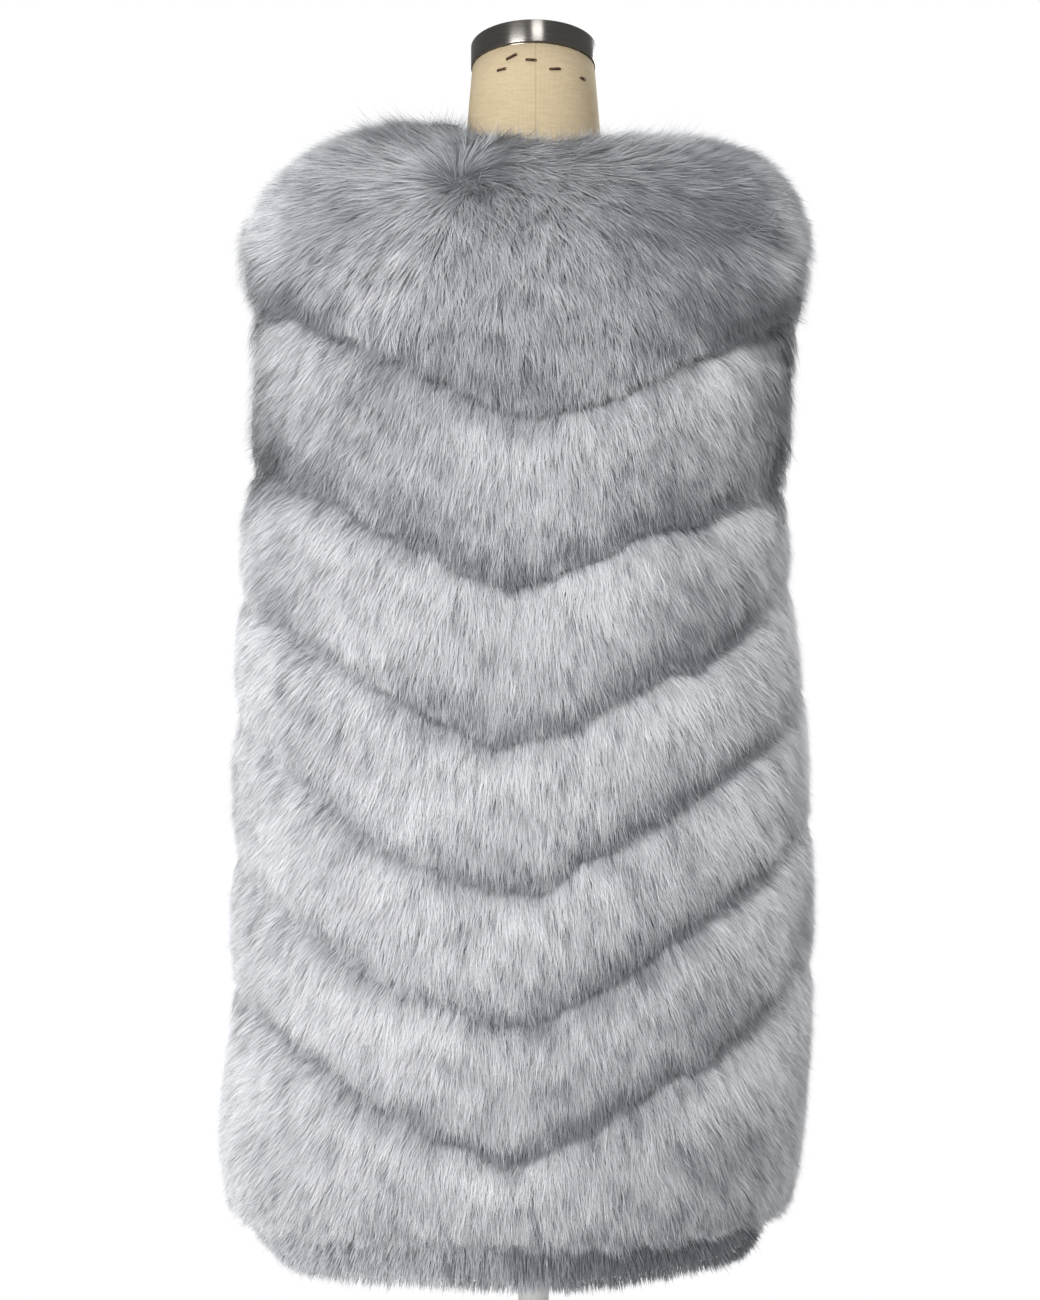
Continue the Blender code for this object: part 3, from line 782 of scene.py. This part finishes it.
def hair_tones_with_painted_shade(pile, angle, along, lot, draw):
    """How pale each hair is, 0 to 1: it varies from hair to hair and in streaks, swells
    and patches, and painted shade makes it darker over the grooves, towards -X, by the
    armholes, in the hollows and on the yoke's shoulders, with painted light in a few places."""
    cut, count = pile.cut, len(angle)
    climb = cut.climb(angle, along)
    around = angle * AROUND
    tone = USUAL_TONE + 0.09 * ripple(around, climb, 21, 0.11)
    tone = tone + 0.10 * ripple(around, climb, 22, 0.035)
    tone = tone + 0.10 * (lot - 0.5) + draw.normal(0, 0.10, count)
    # Painted shade: in a few small cells the hair is drawn darker, as the shaded gaps between
    # hairs.
    painted_gap_lot = locks(around, climb, *PAINTED_GAP, 6)[1]
    tone = tone - np.where(painted_gap_lot < PAINTED_GAP_LOTS, 0.28 + 2.5 * painted_gap_lot, 0)
    at_rim = near_rim(angle, climb, radians(6))
    at_groove = (1 - 0.8 * near_side(angle)) * (1 - 0.7 * at_rim)
    to_right = 0.5 - 0.5 * np.sin(angle)
    at_edge = smooth_step((to_right - 0.86) / 0.06)
    # Painted shade darkens the hair near the armholes, and painted light pales the rim itself
    # towards -X.
    tone = tone - 0.24 * near_rim(angle, climb, radians(28)) + 0.18 * at_rim * to_right
    if cut.lower is HEM:
        # Painted shade: the hem strip is drawn darker towards -X, as its turned-under side in
        # shade.
        tone = tone + 0.15 - 0.7 * smooth_step((to_right - 0.3) / 0.35) - 0.2 * to_right
    else:
        # Painted shade: each strip's lower end, over the groove below it, is drawn darker, more
        # so towards -X.
        shade = GROOVE_PAINTED_SHADES[cut.row]
        painted_groove_shade = shade.left + (shade.right - shade.left) * to_right
        painted_groove_shade = painted_groove_shade * (1 - 0.6 * at_edge) * at_groove
        streak = 1.6 - 1.2 * painted_gap_lot
        tone = tone - painted_groove_shade * streak * smooth_step((along - 0.5) / 0.45)
        # Painted shade: the lower part of each piece is drawn darker towards -X, away from the
        # light.
        below = (0.12 + 0.04 * cut.row) * to_right**2 * (1 - 0.5 * at_edge)
        from_top = 0.55 if cut.upper is None else 0.15
        tone = tone - below * smooth_step((along - from_top) / 0.4)
    across, _, height = pile.outer(angle, climb).T / MM
    if pile.panel == 1:
        for patch in PATCHES:
            reach = np.hypot(across - patch.across, height - patch.height) / patch.reach
            tone = tone - patch.darker * np.exp(-(reach**2))
    if cut.upper is None:
        # Painted shade over the yoke's upper part, and painted shade or light at its top.
        upper = smooth_step((0.74 - along) / 0.2)
        places, whole, top = zip(*YOKE_PAINTED_SHADES)
        tone = tone - upper * np.interp(across, places, whole)
        tone = tone - smooth_step((0.34 - along) / 0.1) * np.interp(across, places, top)
        # Painted shade in the hollows of the parting.
        hollow = hollow_shade(angle, climb)
        tone = tone - 0.6 * hollow * (draw.random(count) < 0.7) - 0.2 * hollow**0.3
        # Painted shade: the upright hair at the neckline is drawn darker.
        tone = tone - 0.3 * (along < NECK_HAIR)
        # Painted shade: the yoke's lower end at the sides, over the first groove, is drawn
        # darker, less so by the armholes.
        painted_side_shade = smooth_step((np.abs(np.sin(angle)) - 0.55) / 0.15)
        painted_side_shade = painted_side_shade * (1 - near_rim(angle, climb, radians(14)))
        tone = tone - 0.4 * painted_side_shade * smooth_step((along - 0.8) / 0.15)
    elif cut.lower is not HEM:
        # Painted shade: a strip's top, under the tufts that hang from above, is drawn darker.
        tone = tone - 0.20 * at_groove * smooth_step(1 - along / 0.16)
    return tone


def make_hair(piece, pile, hair, count, draw):
    """One kind of hair over a piece: corners, triangles and their places on the flat map,
    where the first number is the hair's tone with its painted shade and light, and the
    second runs from root to tip."""
    angle, along = strew(pile, count, draw)
    length = hair_lengths(piece.cut, hair, angle, along, draw)
    points, ways, lot = comb(pile, hair, angle, along, length, draw)
    widths = hair.width * draw.uniform(0.75, 1.2, count)
    if piece.panel == -1:
        widths = widths * FRONT_WIDTH
    corners, triangles = ribbons(points, ways, widths, draw)
    tone = hair_tones_with_painted_shade(pile, angle, along, lot, draw)
    # A strip's top has no hair over its roots, so their darkness, partly painted shade, is
    # drawn paler there as painted light.
    pale = np.interp(along, (0, 0.1, 0.3), (0.55, 0.45, 0.15))
    per_hair = len(corners) // count
    shares = np.repeat(np.linspace(0, 1, hair.points), 2)[:per_hair]
    down = pale[:, None] + (1 - pale[:, None]) * shares
    if piece.cut.lower is HEM:
        down = down * SHORN
    return corners, triangles, np.stack((np.repeat(tone, per_hair), down.ravel()), -1)


def make_rim_hair(piece, side, draw):
    """Short hair that stands out of the pile's side round the armhole and hides it."""
    cut, panel = piece.cut, piece.panel
    alongs = np.linspace(0, 1, 200)
    angle = side * ends_of(cut, panel, side, alongs)
    climb = cut.climb(angle, alongs)
    base, outward, depth = cut.pile(angle, climb, panel)
    step = np.gradient(base, axis=0)
    open_here = armhole_angle(climb) > radians(1.5)
    area = length_of(step)[:, 0] * depth * open_here
    count = thinned(RIM_HAIRS * area.sum())
    place = draw.choice(len(alongs), size=count, p=area / max(area.sum(), 1e-12))
    down, out = unit(step)[place], unit(outward)[place]
    into = np.cross(down, out)
    across = frame_at(angle, climb)[1][place] * side * panel
    into = into * np.sign(np.sum(into * across) + 1e-12)
    share = draw.uniform(0.05, 0.95, count)[:, None]
    root = base[place] + outward[place] * depth[place][:, None] * share
    root = root + down * draw.normal(0, 1 * MM, (count, 1))
    way = out * (1 - share) * 0.9 + into * draw.uniform(0.15, 0.85, (count, 1))
    way = unit(way + down * draw.uniform(0.3, 1.0, (count, 1)))
    length = RIM_LENGTH * draw.uniform(0.5, 1.1, (count, 1))
    widths = COAT.width * draw.uniform(0.9, 1.4, count)
    corners, triangles = ribbons([root, root + way * length], [into, into], widths, draw)
    # Painted shade: the rim hairs are drawn darker the deeper in the pile's side their roots
    # stand.
    tone = 0.5 + 0.2 * share[:, 0] + draw.normal(0, 0.1, count)
    uv = np.stack((np.repeat(tone, 3), np.tile((0.7, 0.7, 1.0), count)), -1)
    return corners, triangles, uv


def make_fur(piece, seed):
    """The pile of one piece: undercoat, coat and guard hairs in one mesh."""
    draw = np.random.default_rng(seed)
    if piece.panel == 1:
        sides = (-pi / 2, pi / 2)
    else:
        sides = tuple(sorted((piece.side * pi / 2, piece.side * front_edge())))
    pile = PileMap(piece.cut, piece.panel, sides)
    parts = [make_undercoat(piece, draw)]
    for hair in (COAT, GUARD):
        total = hair.back if piece.panel == 1 else hair.front
        parts.append(make_hair(piece, pile, hair, thinned(total * piece.share), draw))
    for side in (1, -1) if piece.panel == 1 else (piece.side,):
        if armhole_angle(piece.cut.climb(side * pi / 2, np.linspace(0, 1, 50))).max() > 0.05:
            parts.append(make_rim_hair(piece, side, draw))
    corners = np.concatenate([part[0] for part in parts])
    starts = np.cumsum([0] + [len(part[0]) for part in parts])
    triangles = np.concatenate([part[1] + start for part, start in zip(parts, starts)])
    uv = np.clip(np.concatenate([part[2] for part in parts]), 0.002, 0.998)
    return mesh_object(f"{piece.name}_fur", corners, triangles, uv, finishes["pile"])


# ------------------------------------------------- finishes
def linear(hexa):
    """A colour written as sRGB hex, for a socket that takes linear light."""
    parts = [int(hexa[i : i + 2], 16) / 255 for i in (1, 3, 5)]
    curve = [c / 12.92 if c <= 0.04045 else ((c + 0.055) / 1.055) ** 2.4 for c in parts]
    return (*curve, 1.0)


def new_finish(name):
    """A material with its shader; returns the material, its nodes' tree and the shader."""
    material = bpy.data.materials.new(name)
    material.use_nodes = True
    tree = material.node_tree
    return material, tree, tree.nodes["Principled BSDF"]


def add(tree, kind, inputs=None, stops=None, **settings):
    """A node of this kind with its settings, its ramp's stops, and its inputs' values
    and links."""
    made = tree.nodes.new(kind)
    for name, value in settings.items():
        setattr(made, name, value)
    if stops:
        ramp = made.color_ramp
        while len(ramp.elements) < len(stops):
            ramp.elements.new(0.5)
        for element, (place, colour) in zip(ramp.elements, stops):
            element.position = place
            element.color = linear(colour)
    join(tree, made, inputs or {})
    return made


def join(tree, made, inputs):
    """Gives the node's sockets their values, or the outputs that feed them."""
    for socket, value in inputs.items():
        if isinstance(value, bpy.types.NodeSocket):
            tree.links.new(value, made.inputs[socket])
        else:
            made.inputs[socket].default_value = value


def acrylic_pile():
    """Modacrylic faux-fur hair. Silver grey, darker and cooler down at the roots and
    nearly white at the tips, with a soft silky gloss along each hair. The darkness at the
    roots is partly the fur's own and partly painted shade deep in the pile."""
    material, tree, shader = new_finish("modacrylic pile")
    flat = add(tree, "ShaderNodeUVMap", uv_map="OFBake")
    parts = add(tree, "ShaderNodeSeparateXYZ", {"Vector": flat.outputs["UV"]})
    # Roots darker: partly the fur's own colour, partly painted shade deep in the pile.
    root_shade_to_tip = add(
        tree,
        "ShaderNodeValToRGB",
        {"Fac": parts.outputs["Y"]},
        stops=((0.0, "#84878b"), (0.35, "#b3b5b9"), (0.7, "#dddee1"), (1.0, "#f6f7f8")),
    )
    # Each hair's tone, which carries painted shade over the grooves, hollows and armholes and
    # painted light in a few places.
    tone_with_painted_shade = add(
        tree,
        "ShaderNodeValToRGB",
        {"Fac": parts.outputs["X"]},
        stops=((0.0, "#8b8e92"), (0.4, "#d3d4d6"), (0.7, "#f3f3f4"), (1.0, "#ffffff")),
    )
    colour = add(
        tree,
        "ShaderNodeMix",
        {"Factor": 1.0, "A": root_shade_to_tip.outputs["Color"], "B": tone_with_painted_shade.outputs["Color"]},
        data_type="RGBA",
        blend_type="MULTIPLY",
    )
    look = {
        "Base Color": colour.outputs[2],
        "Roughness": 0.55,
        "Specular IOR Level": 0.35,
        "Sheen Weight": 0.15,
        "Sheen Roughness": 0.5,
    }
    join(tree, shader, look)
    return material


def warp_knit():
    """Polyester warp knit, the fur's ground: small dense loops in rows of 1.4 mm."""
    material, tree, shader = new_finish("polyester warp knit")
    place = add(tree, "ShaderNodeTexCoord")
    loops = add(
        tree,
        "ShaderNodeTexWave",
        {"Vector": place.outputs["Object"], "Scale": 225.0, "Distortion": 2.5},
        wave_type="BANDS",
        bands_direction="Z",
    )
    colour = add(
        tree,
        "ShaderNodeValToRGB",
        {"Fac": loops.outputs["Fac"]},
        stops=((0.0, "#6e7178"), (1.0, "#a1a4ab")),
    )
    raised = add(
        tree,
        "ShaderNodeBump",
        {"Height": loops.outputs["Fac"], "Strength": 0.5, "Distance": 0.0005},
    )
    look = {
        "Base Color": colour.outputs["Color"],
        "Normal": raised.outputs["Normal"],
        "Roughness": 0.9,
    }
    join(tree, shader, look)
    return material


def linen_cover():
    """Unbleached linen, plain weave, pulled tight over the form: warm cream with slubs.
    Real threads are 0.5 mm apart; they are drawn 1.1 mm apart so that they show."""
    material, tree, shader = new_finish("unbleached linen")
    place = add(tree, "ShaderNodeTexCoord")
    parts = add(tree, "ShaderNodeSeparateXYZ", {"Vector": place.outputs["Object"]})
    around = add(
        tree,
        "ShaderNodeMath",
        {0: parts.outputs["X"], 1: parts.outputs["Y"]},
        operation="ARCTAN2",
    )
    turns = add(
        tree,
        "ShaderNodeMath",
        {0: around.outputs["Value"], 1: 320.0},
        operation="MULTIPLY",
    )
    wave = add(tree, "ShaderNodeMath", {0: turns.outputs["Value"]}, operation="SINE")
    warp = add(
        tree,
        "ShaderNodeMapRange",
        {"Value": wave.outputs["Value"], "From Min": -1.0, "From Max": 1.0},
    )
    weft = add(
        tree,
        "ShaderNodeTexWave",
        {"Vector": place.outputs["Object"], "Scale": 285.0, "Distortion": 1.5},
        wave_type="BANDS",
        bands_direction="Z",
    )
    weave = add(
        tree,
        "ShaderNodeMath",
        {0: warp.outputs["Result"], 1: weft.outputs["Fac"]},
        operation="MULTIPLY",
    )
    drawn_out = add(
        tree,
        "ShaderNodeMapping",
        {"Vector": place.outputs["Object"], "Scale": (1.0, 1.0, 5.0)},
    )
    slubs = add(
        tree,
        "ShaderNodeTexNoise",
        {"Vector": drawn_out.outputs["Vector"], "Scale": 90.0, "Detail": 5.0},
    )
    cloth = add(
        tree,
        "ShaderNodeValToRGB",
        {"Fac": slubs.outputs["Fac"]},
        stops=((0.25, "#c1b194"), (0.75, "#cebfa4")),
    )
    threads = add(
        tree,
        "ShaderNodeValToRGB",
        {"Fac": weave.outputs["Value"]},
        stops=((0.0, "#d8d2c6"), (1.0, "#ffffff")),
    )
    colour = add(
        tree,
        "ShaderNodeMix",
        {"Factor": 1.0, "A": cloth.outputs["Color"], "B": threads.outputs["Color"]},
        data_type="RGBA",
        blend_type="MULTIPLY",
    )
    # The cover's seam up the back of the neck: a shallow dark crease.
    aside = add(tree, "ShaderNodeMath", {0: parts.outputs["X"], 1: 0.0018}, operation="ADD")
    off = add(tree, "ShaderNodeMath", {0: aside.outputs["Value"]}, operation="ABSOLUTE")
    crease = add(
        tree,
        "ShaderNodeMapRange",
        {"Value": off.outputs["Value"], "From Min": 0.0003, "From Max": 0.0011},
    )
    ahead = add(tree, "ShaderNodeMath", {0: parts.outputs["Y"], 1: 0.0}, operation="LESS_THAN")
    clear = add(
        tree,
        "ShaderNodeMath",
        {0: crease.outputs["Result"], 1: ahead.outputs["Value"]},
        operation="MAXIMUM",
    )
    seamed = add(
        tree,
        "ShaderNodeMix",
        {"Factor": clear.outputs["Value"], "A": linear("#a99878"), "B": colour.outputs[2]},
        data_type="RGBA",
    )
    height = add(
        tree,
        "ShaderNodeMath",
        {0: clear.outputs["Value"], 1: 3.0, 2: weave.outputs["Value"]},
        operation="MULTIPLY_ADD",
    )
    raised = add(
        tree,
        "ShaderNodeBump",
        {"Height": height.outputs["Value"], "Strength": 0.35, "Distance": 0.0004},
    )
    look = {
        "Base Color": seamed.outputs[2],
        "Normal": raised.outputs["Normal"],
        "Roughness": 0.85,
    }
    join(tree, shader, look)
    return material


def rusty_wire():
    """Steel staple wire that has rusted dark brown, dull with a few brighter specks."""
    material, tree, shader = new_finish("rusted steel wire")
    place = add(tree, "ShaderNodeTexCoord")
    specks = add(
        tree,
        "ShaderNodeTexNoise",
        {"Vector": place.outputs["Object"], "Scale": 900.0, "Detail": 3.0},
    )
    colour = add(
        tree,
        "ShaderNodeValToRGB",
        {"Fac": specks.outputs["Fac"]},
        stops=((0.35, "#2b2019"), (0.7, "#6b4d36")),
    )
    look = {"Base Color": colour.outputs["Color"], "Metallic": 0.3, "Roughness": 0.7}
    join(tree, shader, look)
    return material


def brushed_steel():
    """Spun steel, brushed round the axis: fine rings that smear the light up and down."""
    material, tree, shader = new_finish("brushed steel")
    place = add(tree, "ShaderNodeTexCoord")
    stretched = add(
        tree,
        "ShaderNodeMapping",
        {"Vector": place.outputs["Object"], "Scale": (30.0, 30.0, 2600.0)},
    )
    grain = add(
        tree,
        "ShaderNodeTexNoise",
        {"Vector": stretched.outputs["Vector"], "Scale": 1.0, "Detail": 3.0},
    )
    colour = add(
        tree,
        "ShaderNodeValToRGB",
        {"Fac": grain.outputs["Fac"]},
        stops=((0.3, "#7d7975"), (0.7, "#8e8a86")),
    )
    worn = add(
        tree,
        "ShaderNodeMapRange",
        {"Value": grain.outputs["Fac"], "To Min": 0.20, "To Max": 0.32},
    )
    turned = add(tree, "ShaderNodeTangent", direction_type="RADIAL", axis="Z")
    look = {
        "Base Color": colour.outputs["Color"],
        "Roughness": worn.outputs["Result"],
        "Tangent": turned.outputs["Tangent"],
        "Metallic": 1.0,
        "Anisotropic": 0.8,
        "Anisotropic Rotation": 0.25,
    }
    join(tree, shader, look)
    return material


def powder_coat():
    """Steel with a pale grey powder coat: a satin skin with a fine orange-peel texture."""
    material, tree, shader = new_finish("grey powder-coated steel")
    place = add(tree, "ShaderNodeTexCoord")
    peel = add(
        tree,
        "ShaderNodeTexNoise",
        {"Vector": place.outputs["Object"], "Scale": 420.0, "Detail": 2.0},
    )
    cloud = add(
        tree,
        "ShaderNodeTexNoise",
        {"Vector": place.outputs["Object"], "Scale": 9.0, "Detail": 3.0},
    )
    colour = add(
        tree,
        "ShaderNodeValToRGB",
        {"Fac": cloud.outputs["Fac"]},
        stops=((0.3, "#b9b9b7"), (0.7, "#c6c6c4")),
    )
    raised = add(
        tree,
        "ShaderNodeBump",
        {"Height": peel.outputs["Fac"], "Strength": 0.15, "Distance": 0.0004},
    )
    look = {
        "Base Color": colour.outputs["Color"],
        "Normal": raised.outputs["Normal"],
        "Roughness": 0.38,
    }
    join(tree, shader, look)
    return material


finishes = {
    "pile": acrylic_pile(),
    "knit": warp_knit(),
    "linen": linen_cover(),
    "steel": brushed_steel(),
    "wire": rusty_wire(),
    "coat": powder_coat(),
}

# ------------------------------------------------- the gilet
CUTS = [Cut("yoke", 0, YOKE_ROLL, None, YOKE_SEAM)]
for number, seams in enumerate(zip(STRIP_SEAMS, STRIP_SEAMS[1:]), 1):
    CUTS.append(Cut(f"strip_{number}", number, STRIP_ROLL, *seams))
CUTS.append(Cut("hem_strip", 7, HEM_ROLL, STRIP_SEAMS[-1], HEM))


def cut_size(cut, panel, side):
    """The flat area of a piece, and its length and width along and across the strip."""
    alongs = np.linspace(0, 1, 25)
    angle = panel_grid(cut, panel, side, 40, alongs)
    climb = cut.sewn(angle, alongs[:, None])
    base = backing_point(angle, climb)
    round_it = base[:, 1:] - base[:, :-1]
    down_it = base[1:] - base[:-1]
    area = length_of(np.cross(round_it[:-1], down_it[:, :-1])).sum()
    return area, length_of(round_it).sum(1).max(), length_of(down_it).sum(0).max()


PANELS = ((1, 1, "back"), (-1, 1, "front_left"), (-1, -1, "front_right"))
Sheet = namedtuple("Sheet", "node cut panel side area length width")
sheets = [
    Sheet(f"{where}_{cut.name}", cut, panel, side, *cut_size(cut, panel, side))
    for panel, side, where in PANELS
    for cut in CUTS
]
for node, cut, panel, side, area, length, width in sheets:
    whole = sum(sheet.area for sheet in sheets if sheet.panel == panel)
    piece = Piece(node, cut, panel, side, area / whole)
    backing = make_backing(piece)
    fur = make_fur(piece, 100 * cut.row + 10 * (panel + 1) + side + 1)
    for made in (backing, fur):
        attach(made, "root")
    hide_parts(node)

# ------------------------------------------------- the form and its stand
CAP_TILT = radians(7)
CAP_RADIUS = 57.5 * MM
CAP_TOP = 22 * MM
CAP_FOOT = 1.5 * MM  # under the band a narrower foot stands on the linen
NECK_TOP = 1.483


def pick_faces(made, wanted):
    """In edit mode, selects only the faces whose normals pass the test."""
    mesh = bmesh.from_edit_mesh(made.data)
    for face in mesh.faces:
        face.select = wanted(face.normal)
    bmesh.update_edit_mesh(made.data)


def sink(depth):
    move = {"value": (0, 0, -depth)}
    bpy.ops.mesh.extrude_region_move(TRANSFORM_OT_translate=move)


def make_cap():
    """The neck's steel cap: a band with rounded edges, a sunk lid and a narrow foot."""
    bpy.ops.object.select_all(action="DESELECT")
    height = CAP_TOP - CAP_FOOT
    middle = (0, 0, CAP_FOOT + height / 2)
    bpy.ops.mesh.primitive_cylinder_add(
        vertices=128, radius=CAP_RADIUS, depth=height, location=middle
    )
    cap = bpy.context.object
    cap.name = "cap"
    bpy.ops.object.transform_apply(location=True, rotation=True, scale=True)
    bpy.ops.object.mode_set(mode="EDIT")
    bpy.ops.mesh.select_mode(type="FACE")
    pick_faces(cap, lambda normal: normal.z < -0.9)
    bpy.ops.mesh.inset(thickness=2.4 * MM)
    sink(CAP_FOOT - 0.4 * MM)
    pick_faces(cap, lambda normal: normal.z > 0.9)
    bpy.ops.mesh.inset(thickness=1.8 * MM)
    sink(0.9 * MM)
    bpy.ops.object.mode_set(mode="OBJECT")
    edges = cap.modifiers.new("edges", "BEVEL")
    edges.width = 0.6 * MM
    edges.segments = 3
    edges.limit_method = "ANGLE"
    bpy.ops.object.modifier_apply(modifier="edges")
    cap.rotation_euler = (CAP_TILT, 0, 0)
    cap.location = (0, 0, NECK_TOP)
    bpy.ops.object.transform_apply(location=True, rotation=True, scale=True)
    bpy.ops.object.shade_smooth_by_angle(angle=radians(35))
    return cap


def make_cover():
    """The form's linen cover: the form's solid with its triangles joined and smooth."""
    bpy.ops.object.select_all(action="DESELECT")
    cover = bpy.data.objects["form_body"].copy()
    cover.data = cover.data.copy()
    cover.name = "form_cover"
    bpy.context.scene.collection.objects.link(cover)
    cover.select_set(True)
    bpy.context.view_layer.objects.active = cover
    bpy.ops.object.mode_set(mode="EDIT")
    bpy.ops.mesh.select_all(action="SELECT")
    bpy.ops.mesh.remove_doubles(threshold=0.00002)
    bpy.ops.object.mode_set(mode="OBJECT")
    bpy.ops.object.shade_smooth_by_angle(angle=radians(40))
    cover.data.materials.clear()
    return cover


# Staples that hold the cover under the cap: their places on the back of the neck, from
# the middle and up, how far each slopes and how long it is.
Staple = namedtuple("Staple", "across high slope length")
STAPLES = (
    Staple(across=19.5, high=1478.8, slope=-22, length=10),
    Staple(across=28.4, high=1468.2, slope=-5, length=8.5),
    Staple(across=2.6, high=1474.8, slope=6, length=8),
    Staple(across=-18.8, high=1467.4, slope=-6, length=9),
    Staple(across=-43.8, high=1463.3, slope=4, length=6),
)
WIRE = 1.2 * MM  # half the staple wire's thickness
# The wire's path: along the staple in halves of its length, and out of the linen in mm.
WIRE_PATH = ((-1, -0.8), (-1, 0.2), (-0.9, 0.6), (0.9, 0.6), (1, 0.2), (1, -0.8))


def make_staples(cover):
    """Bent wire staples, driven into the linen where it lies."""
    shape = bmesh.new()
    shape.from_mesh(cover.data)
    linen = BVHTree.FromBMesh(shape)
    shape.free()
    corners, triangles = [], []
    ring = np.linspace(0, 2 * pi, 8, endpoint=False)
    for across, high, slope, length in STAPLES:
        start = Vector((across * MM, 0.2, high * MM))
        spot, normal, _, _ = linen.ray_cast(start, Vector((0, -1, 0)))
        level = Vector((0, 0, 1)).cross(normal).normalized()
        level = Matrix.Rotation(radians(-slope), 3, normal) @ level
        half = length * MM / 2
        rows = []
        for along, out in WIRE_PATH:
            middle = np.array(spot + level * half * along + normal * out * MM)
            lean = np.array(level if abs(along) < 1 else normal)
            side = np.cross(normal, level)
            rest = np.cross(lean, side)
            wall = np.outer(np.cos(ring), side) + np.outer(np.sin(ring), rest)
            rows.append(middle + wall * WIRE)
        body, faces = shell_of_rings(np.array(rows))
        triangles.append(faces + sum(len(c) for c in corners))
        corners.append(body)
    corners, triangles = np.concatenate(corners), np.concatenate(triangles)
    return mesh_object("cover_staples", corners, triangles, None, finishes["wire"])


def shell_of_rings(rings):
    """Corners and outward triangles of a closed tube through these rings."""
    count, size = rings.shape[:2]
    index = np.arange(count * size).reshape(count, size)
    beside = np.roll(index, -1, axis=1)
    a, b, c, d = (x.ravel() for x in (index[:-1], index[1:], beside[1:], beside[:-1]))
    ends = index[0], index[-1, ::-1]
    fans = [np.stack((end[0] + 0 * end[1:-1], end[1:-1], end[2:]), 1) for end in ends]
    triangles = np.concatenate((np.stack((a, b, c), 1), np.stack((a, c, d), 1), *fans))
    corners = rings.reshape(-1, 3)
    return corners, facing_out(corners - corners.mean(0), triangles)


cover = make_cover()
cover.data.materials.append(finishes["linen"])
cap = make_cap()
cap.data.materials.append(finishes["steel"])
staples = make_staples(cover)
for made, node, slot in (
    (cover, "form_body", "linen"),
    (cap, "neck_cap", "steel"),
    (staples, None, "steel"),
):
    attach(made, "root")
    if node:
        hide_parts(node)
for node in ("stand_pole", "stand_base"):
    for slot in bpy.data.objects[node].material_slots:
        slot.material = finishes["coat"]

# ------------------------------------------------- floor, light and camera
bpy.ops.object.select_all(action="DESELECT")
bpy.ops.mesh.primitive_circle_add(vertices=96, radius=0.96, fill_type="NGON")
floor = bpy.context.object
floor.name = "floor"
floor.location = (0, 0, -0.0005)
paper, tree, shader = new_finish("matt paper")
join(tree, shader, {"Base Color": linear("#f2f1ef"), "Roughness": 0.9})
floor.data.materials.append(paper)

world = bpy.data.worlds.new("studio")
bpy.context.scene.world = world
world.use_nodes = True
tree = world.node_tree
tree.nodes.clear()
path = add(tree, "ShaderNodeLightPath")
# What the steel mirrors is darker than what lights the cloth, as a room past its lamps is.
dimmed = add(
    tree,
    "ShaderNodeMath",
    {0: path.outputs["Is Glossy Ray"], 1: -0.36, 2: 0.60},
    operation="MULTIPLY_ADD",
)
soft = add(
    tree,
    "ShaderNodeBackground",
    {"Color": (1, 1, 1, 1), "Strength": dimmed.outputs["Value"]},
)
white = add(tree, "ShaderNodeBackground", {"Color": (1, 1, 1, 1), "Strength": 1.0})
seen = add(
    tree,
    "ShaderNodeMixShader",
    {
        0: path.outputs["Is Camera Ray"],
        1: soft.outputs["Background"],
        2: white.outputs["Background"],
    },
)
add(tree, "ShaderNodeOutputWorld", {"Surface": seen.outputs["Shader"]})
bpy.context.scene.view_settings.view_transform = "Standard"


def soft_light(name, place, target, size, power):
    """A lamp of this width and height, aimed at a target, of so many watts."""
    lamp = bpy.data.lights.new(name, "AREA")
    lamp.shape = "RECTANGLE"
    lamp.size, lamp.size_y = size
    lamp.energy = power
    made = bpy.data.objects.new(name, lamp)
    made.location = place
    aim = Vector(target) - Vector(place)
    made.rotation_euler = aim.to_track_quat("-Z", "Y").to_euler()
    bpy.context.scene.collection.objects.link(made)


soft_light("key", (1.4, 2.5, 1.4), (0, 0, 0.9), (1.2, 1.6), 79)
soft_light("front_key", (-1.4, -2.5, 1.5), (0, 0, 0.9), (1.2, 1.6), 74)
soft_light("top", (0.0, 0.0, 3.8), (0, 0, 0.9), (2.0, 2.0), 8)
soft_light("strip", (-0.3, 2.4, 3.0), (0, 0, 1.5), (0.8, 1.2), 22)

FOCAL = 1848  # pixels, for a picture 1300 pixels high
SENSOR = 36  # mm, up the picture
camera = bpy.data.objects.new("camera", bpy.data.cameras.new("camera"))
camera.data.sensor_width = SENSOR
camera.data.lens = FOCAL * SENSOR / 1300
camera.location = (0.0124, 1.70, 0.950)
camera.rotation_euler = (radians(90), 0, radians(180))
bpy.context.scene.collection.objects.link(camera)
bpy.context.scene.camera = camera
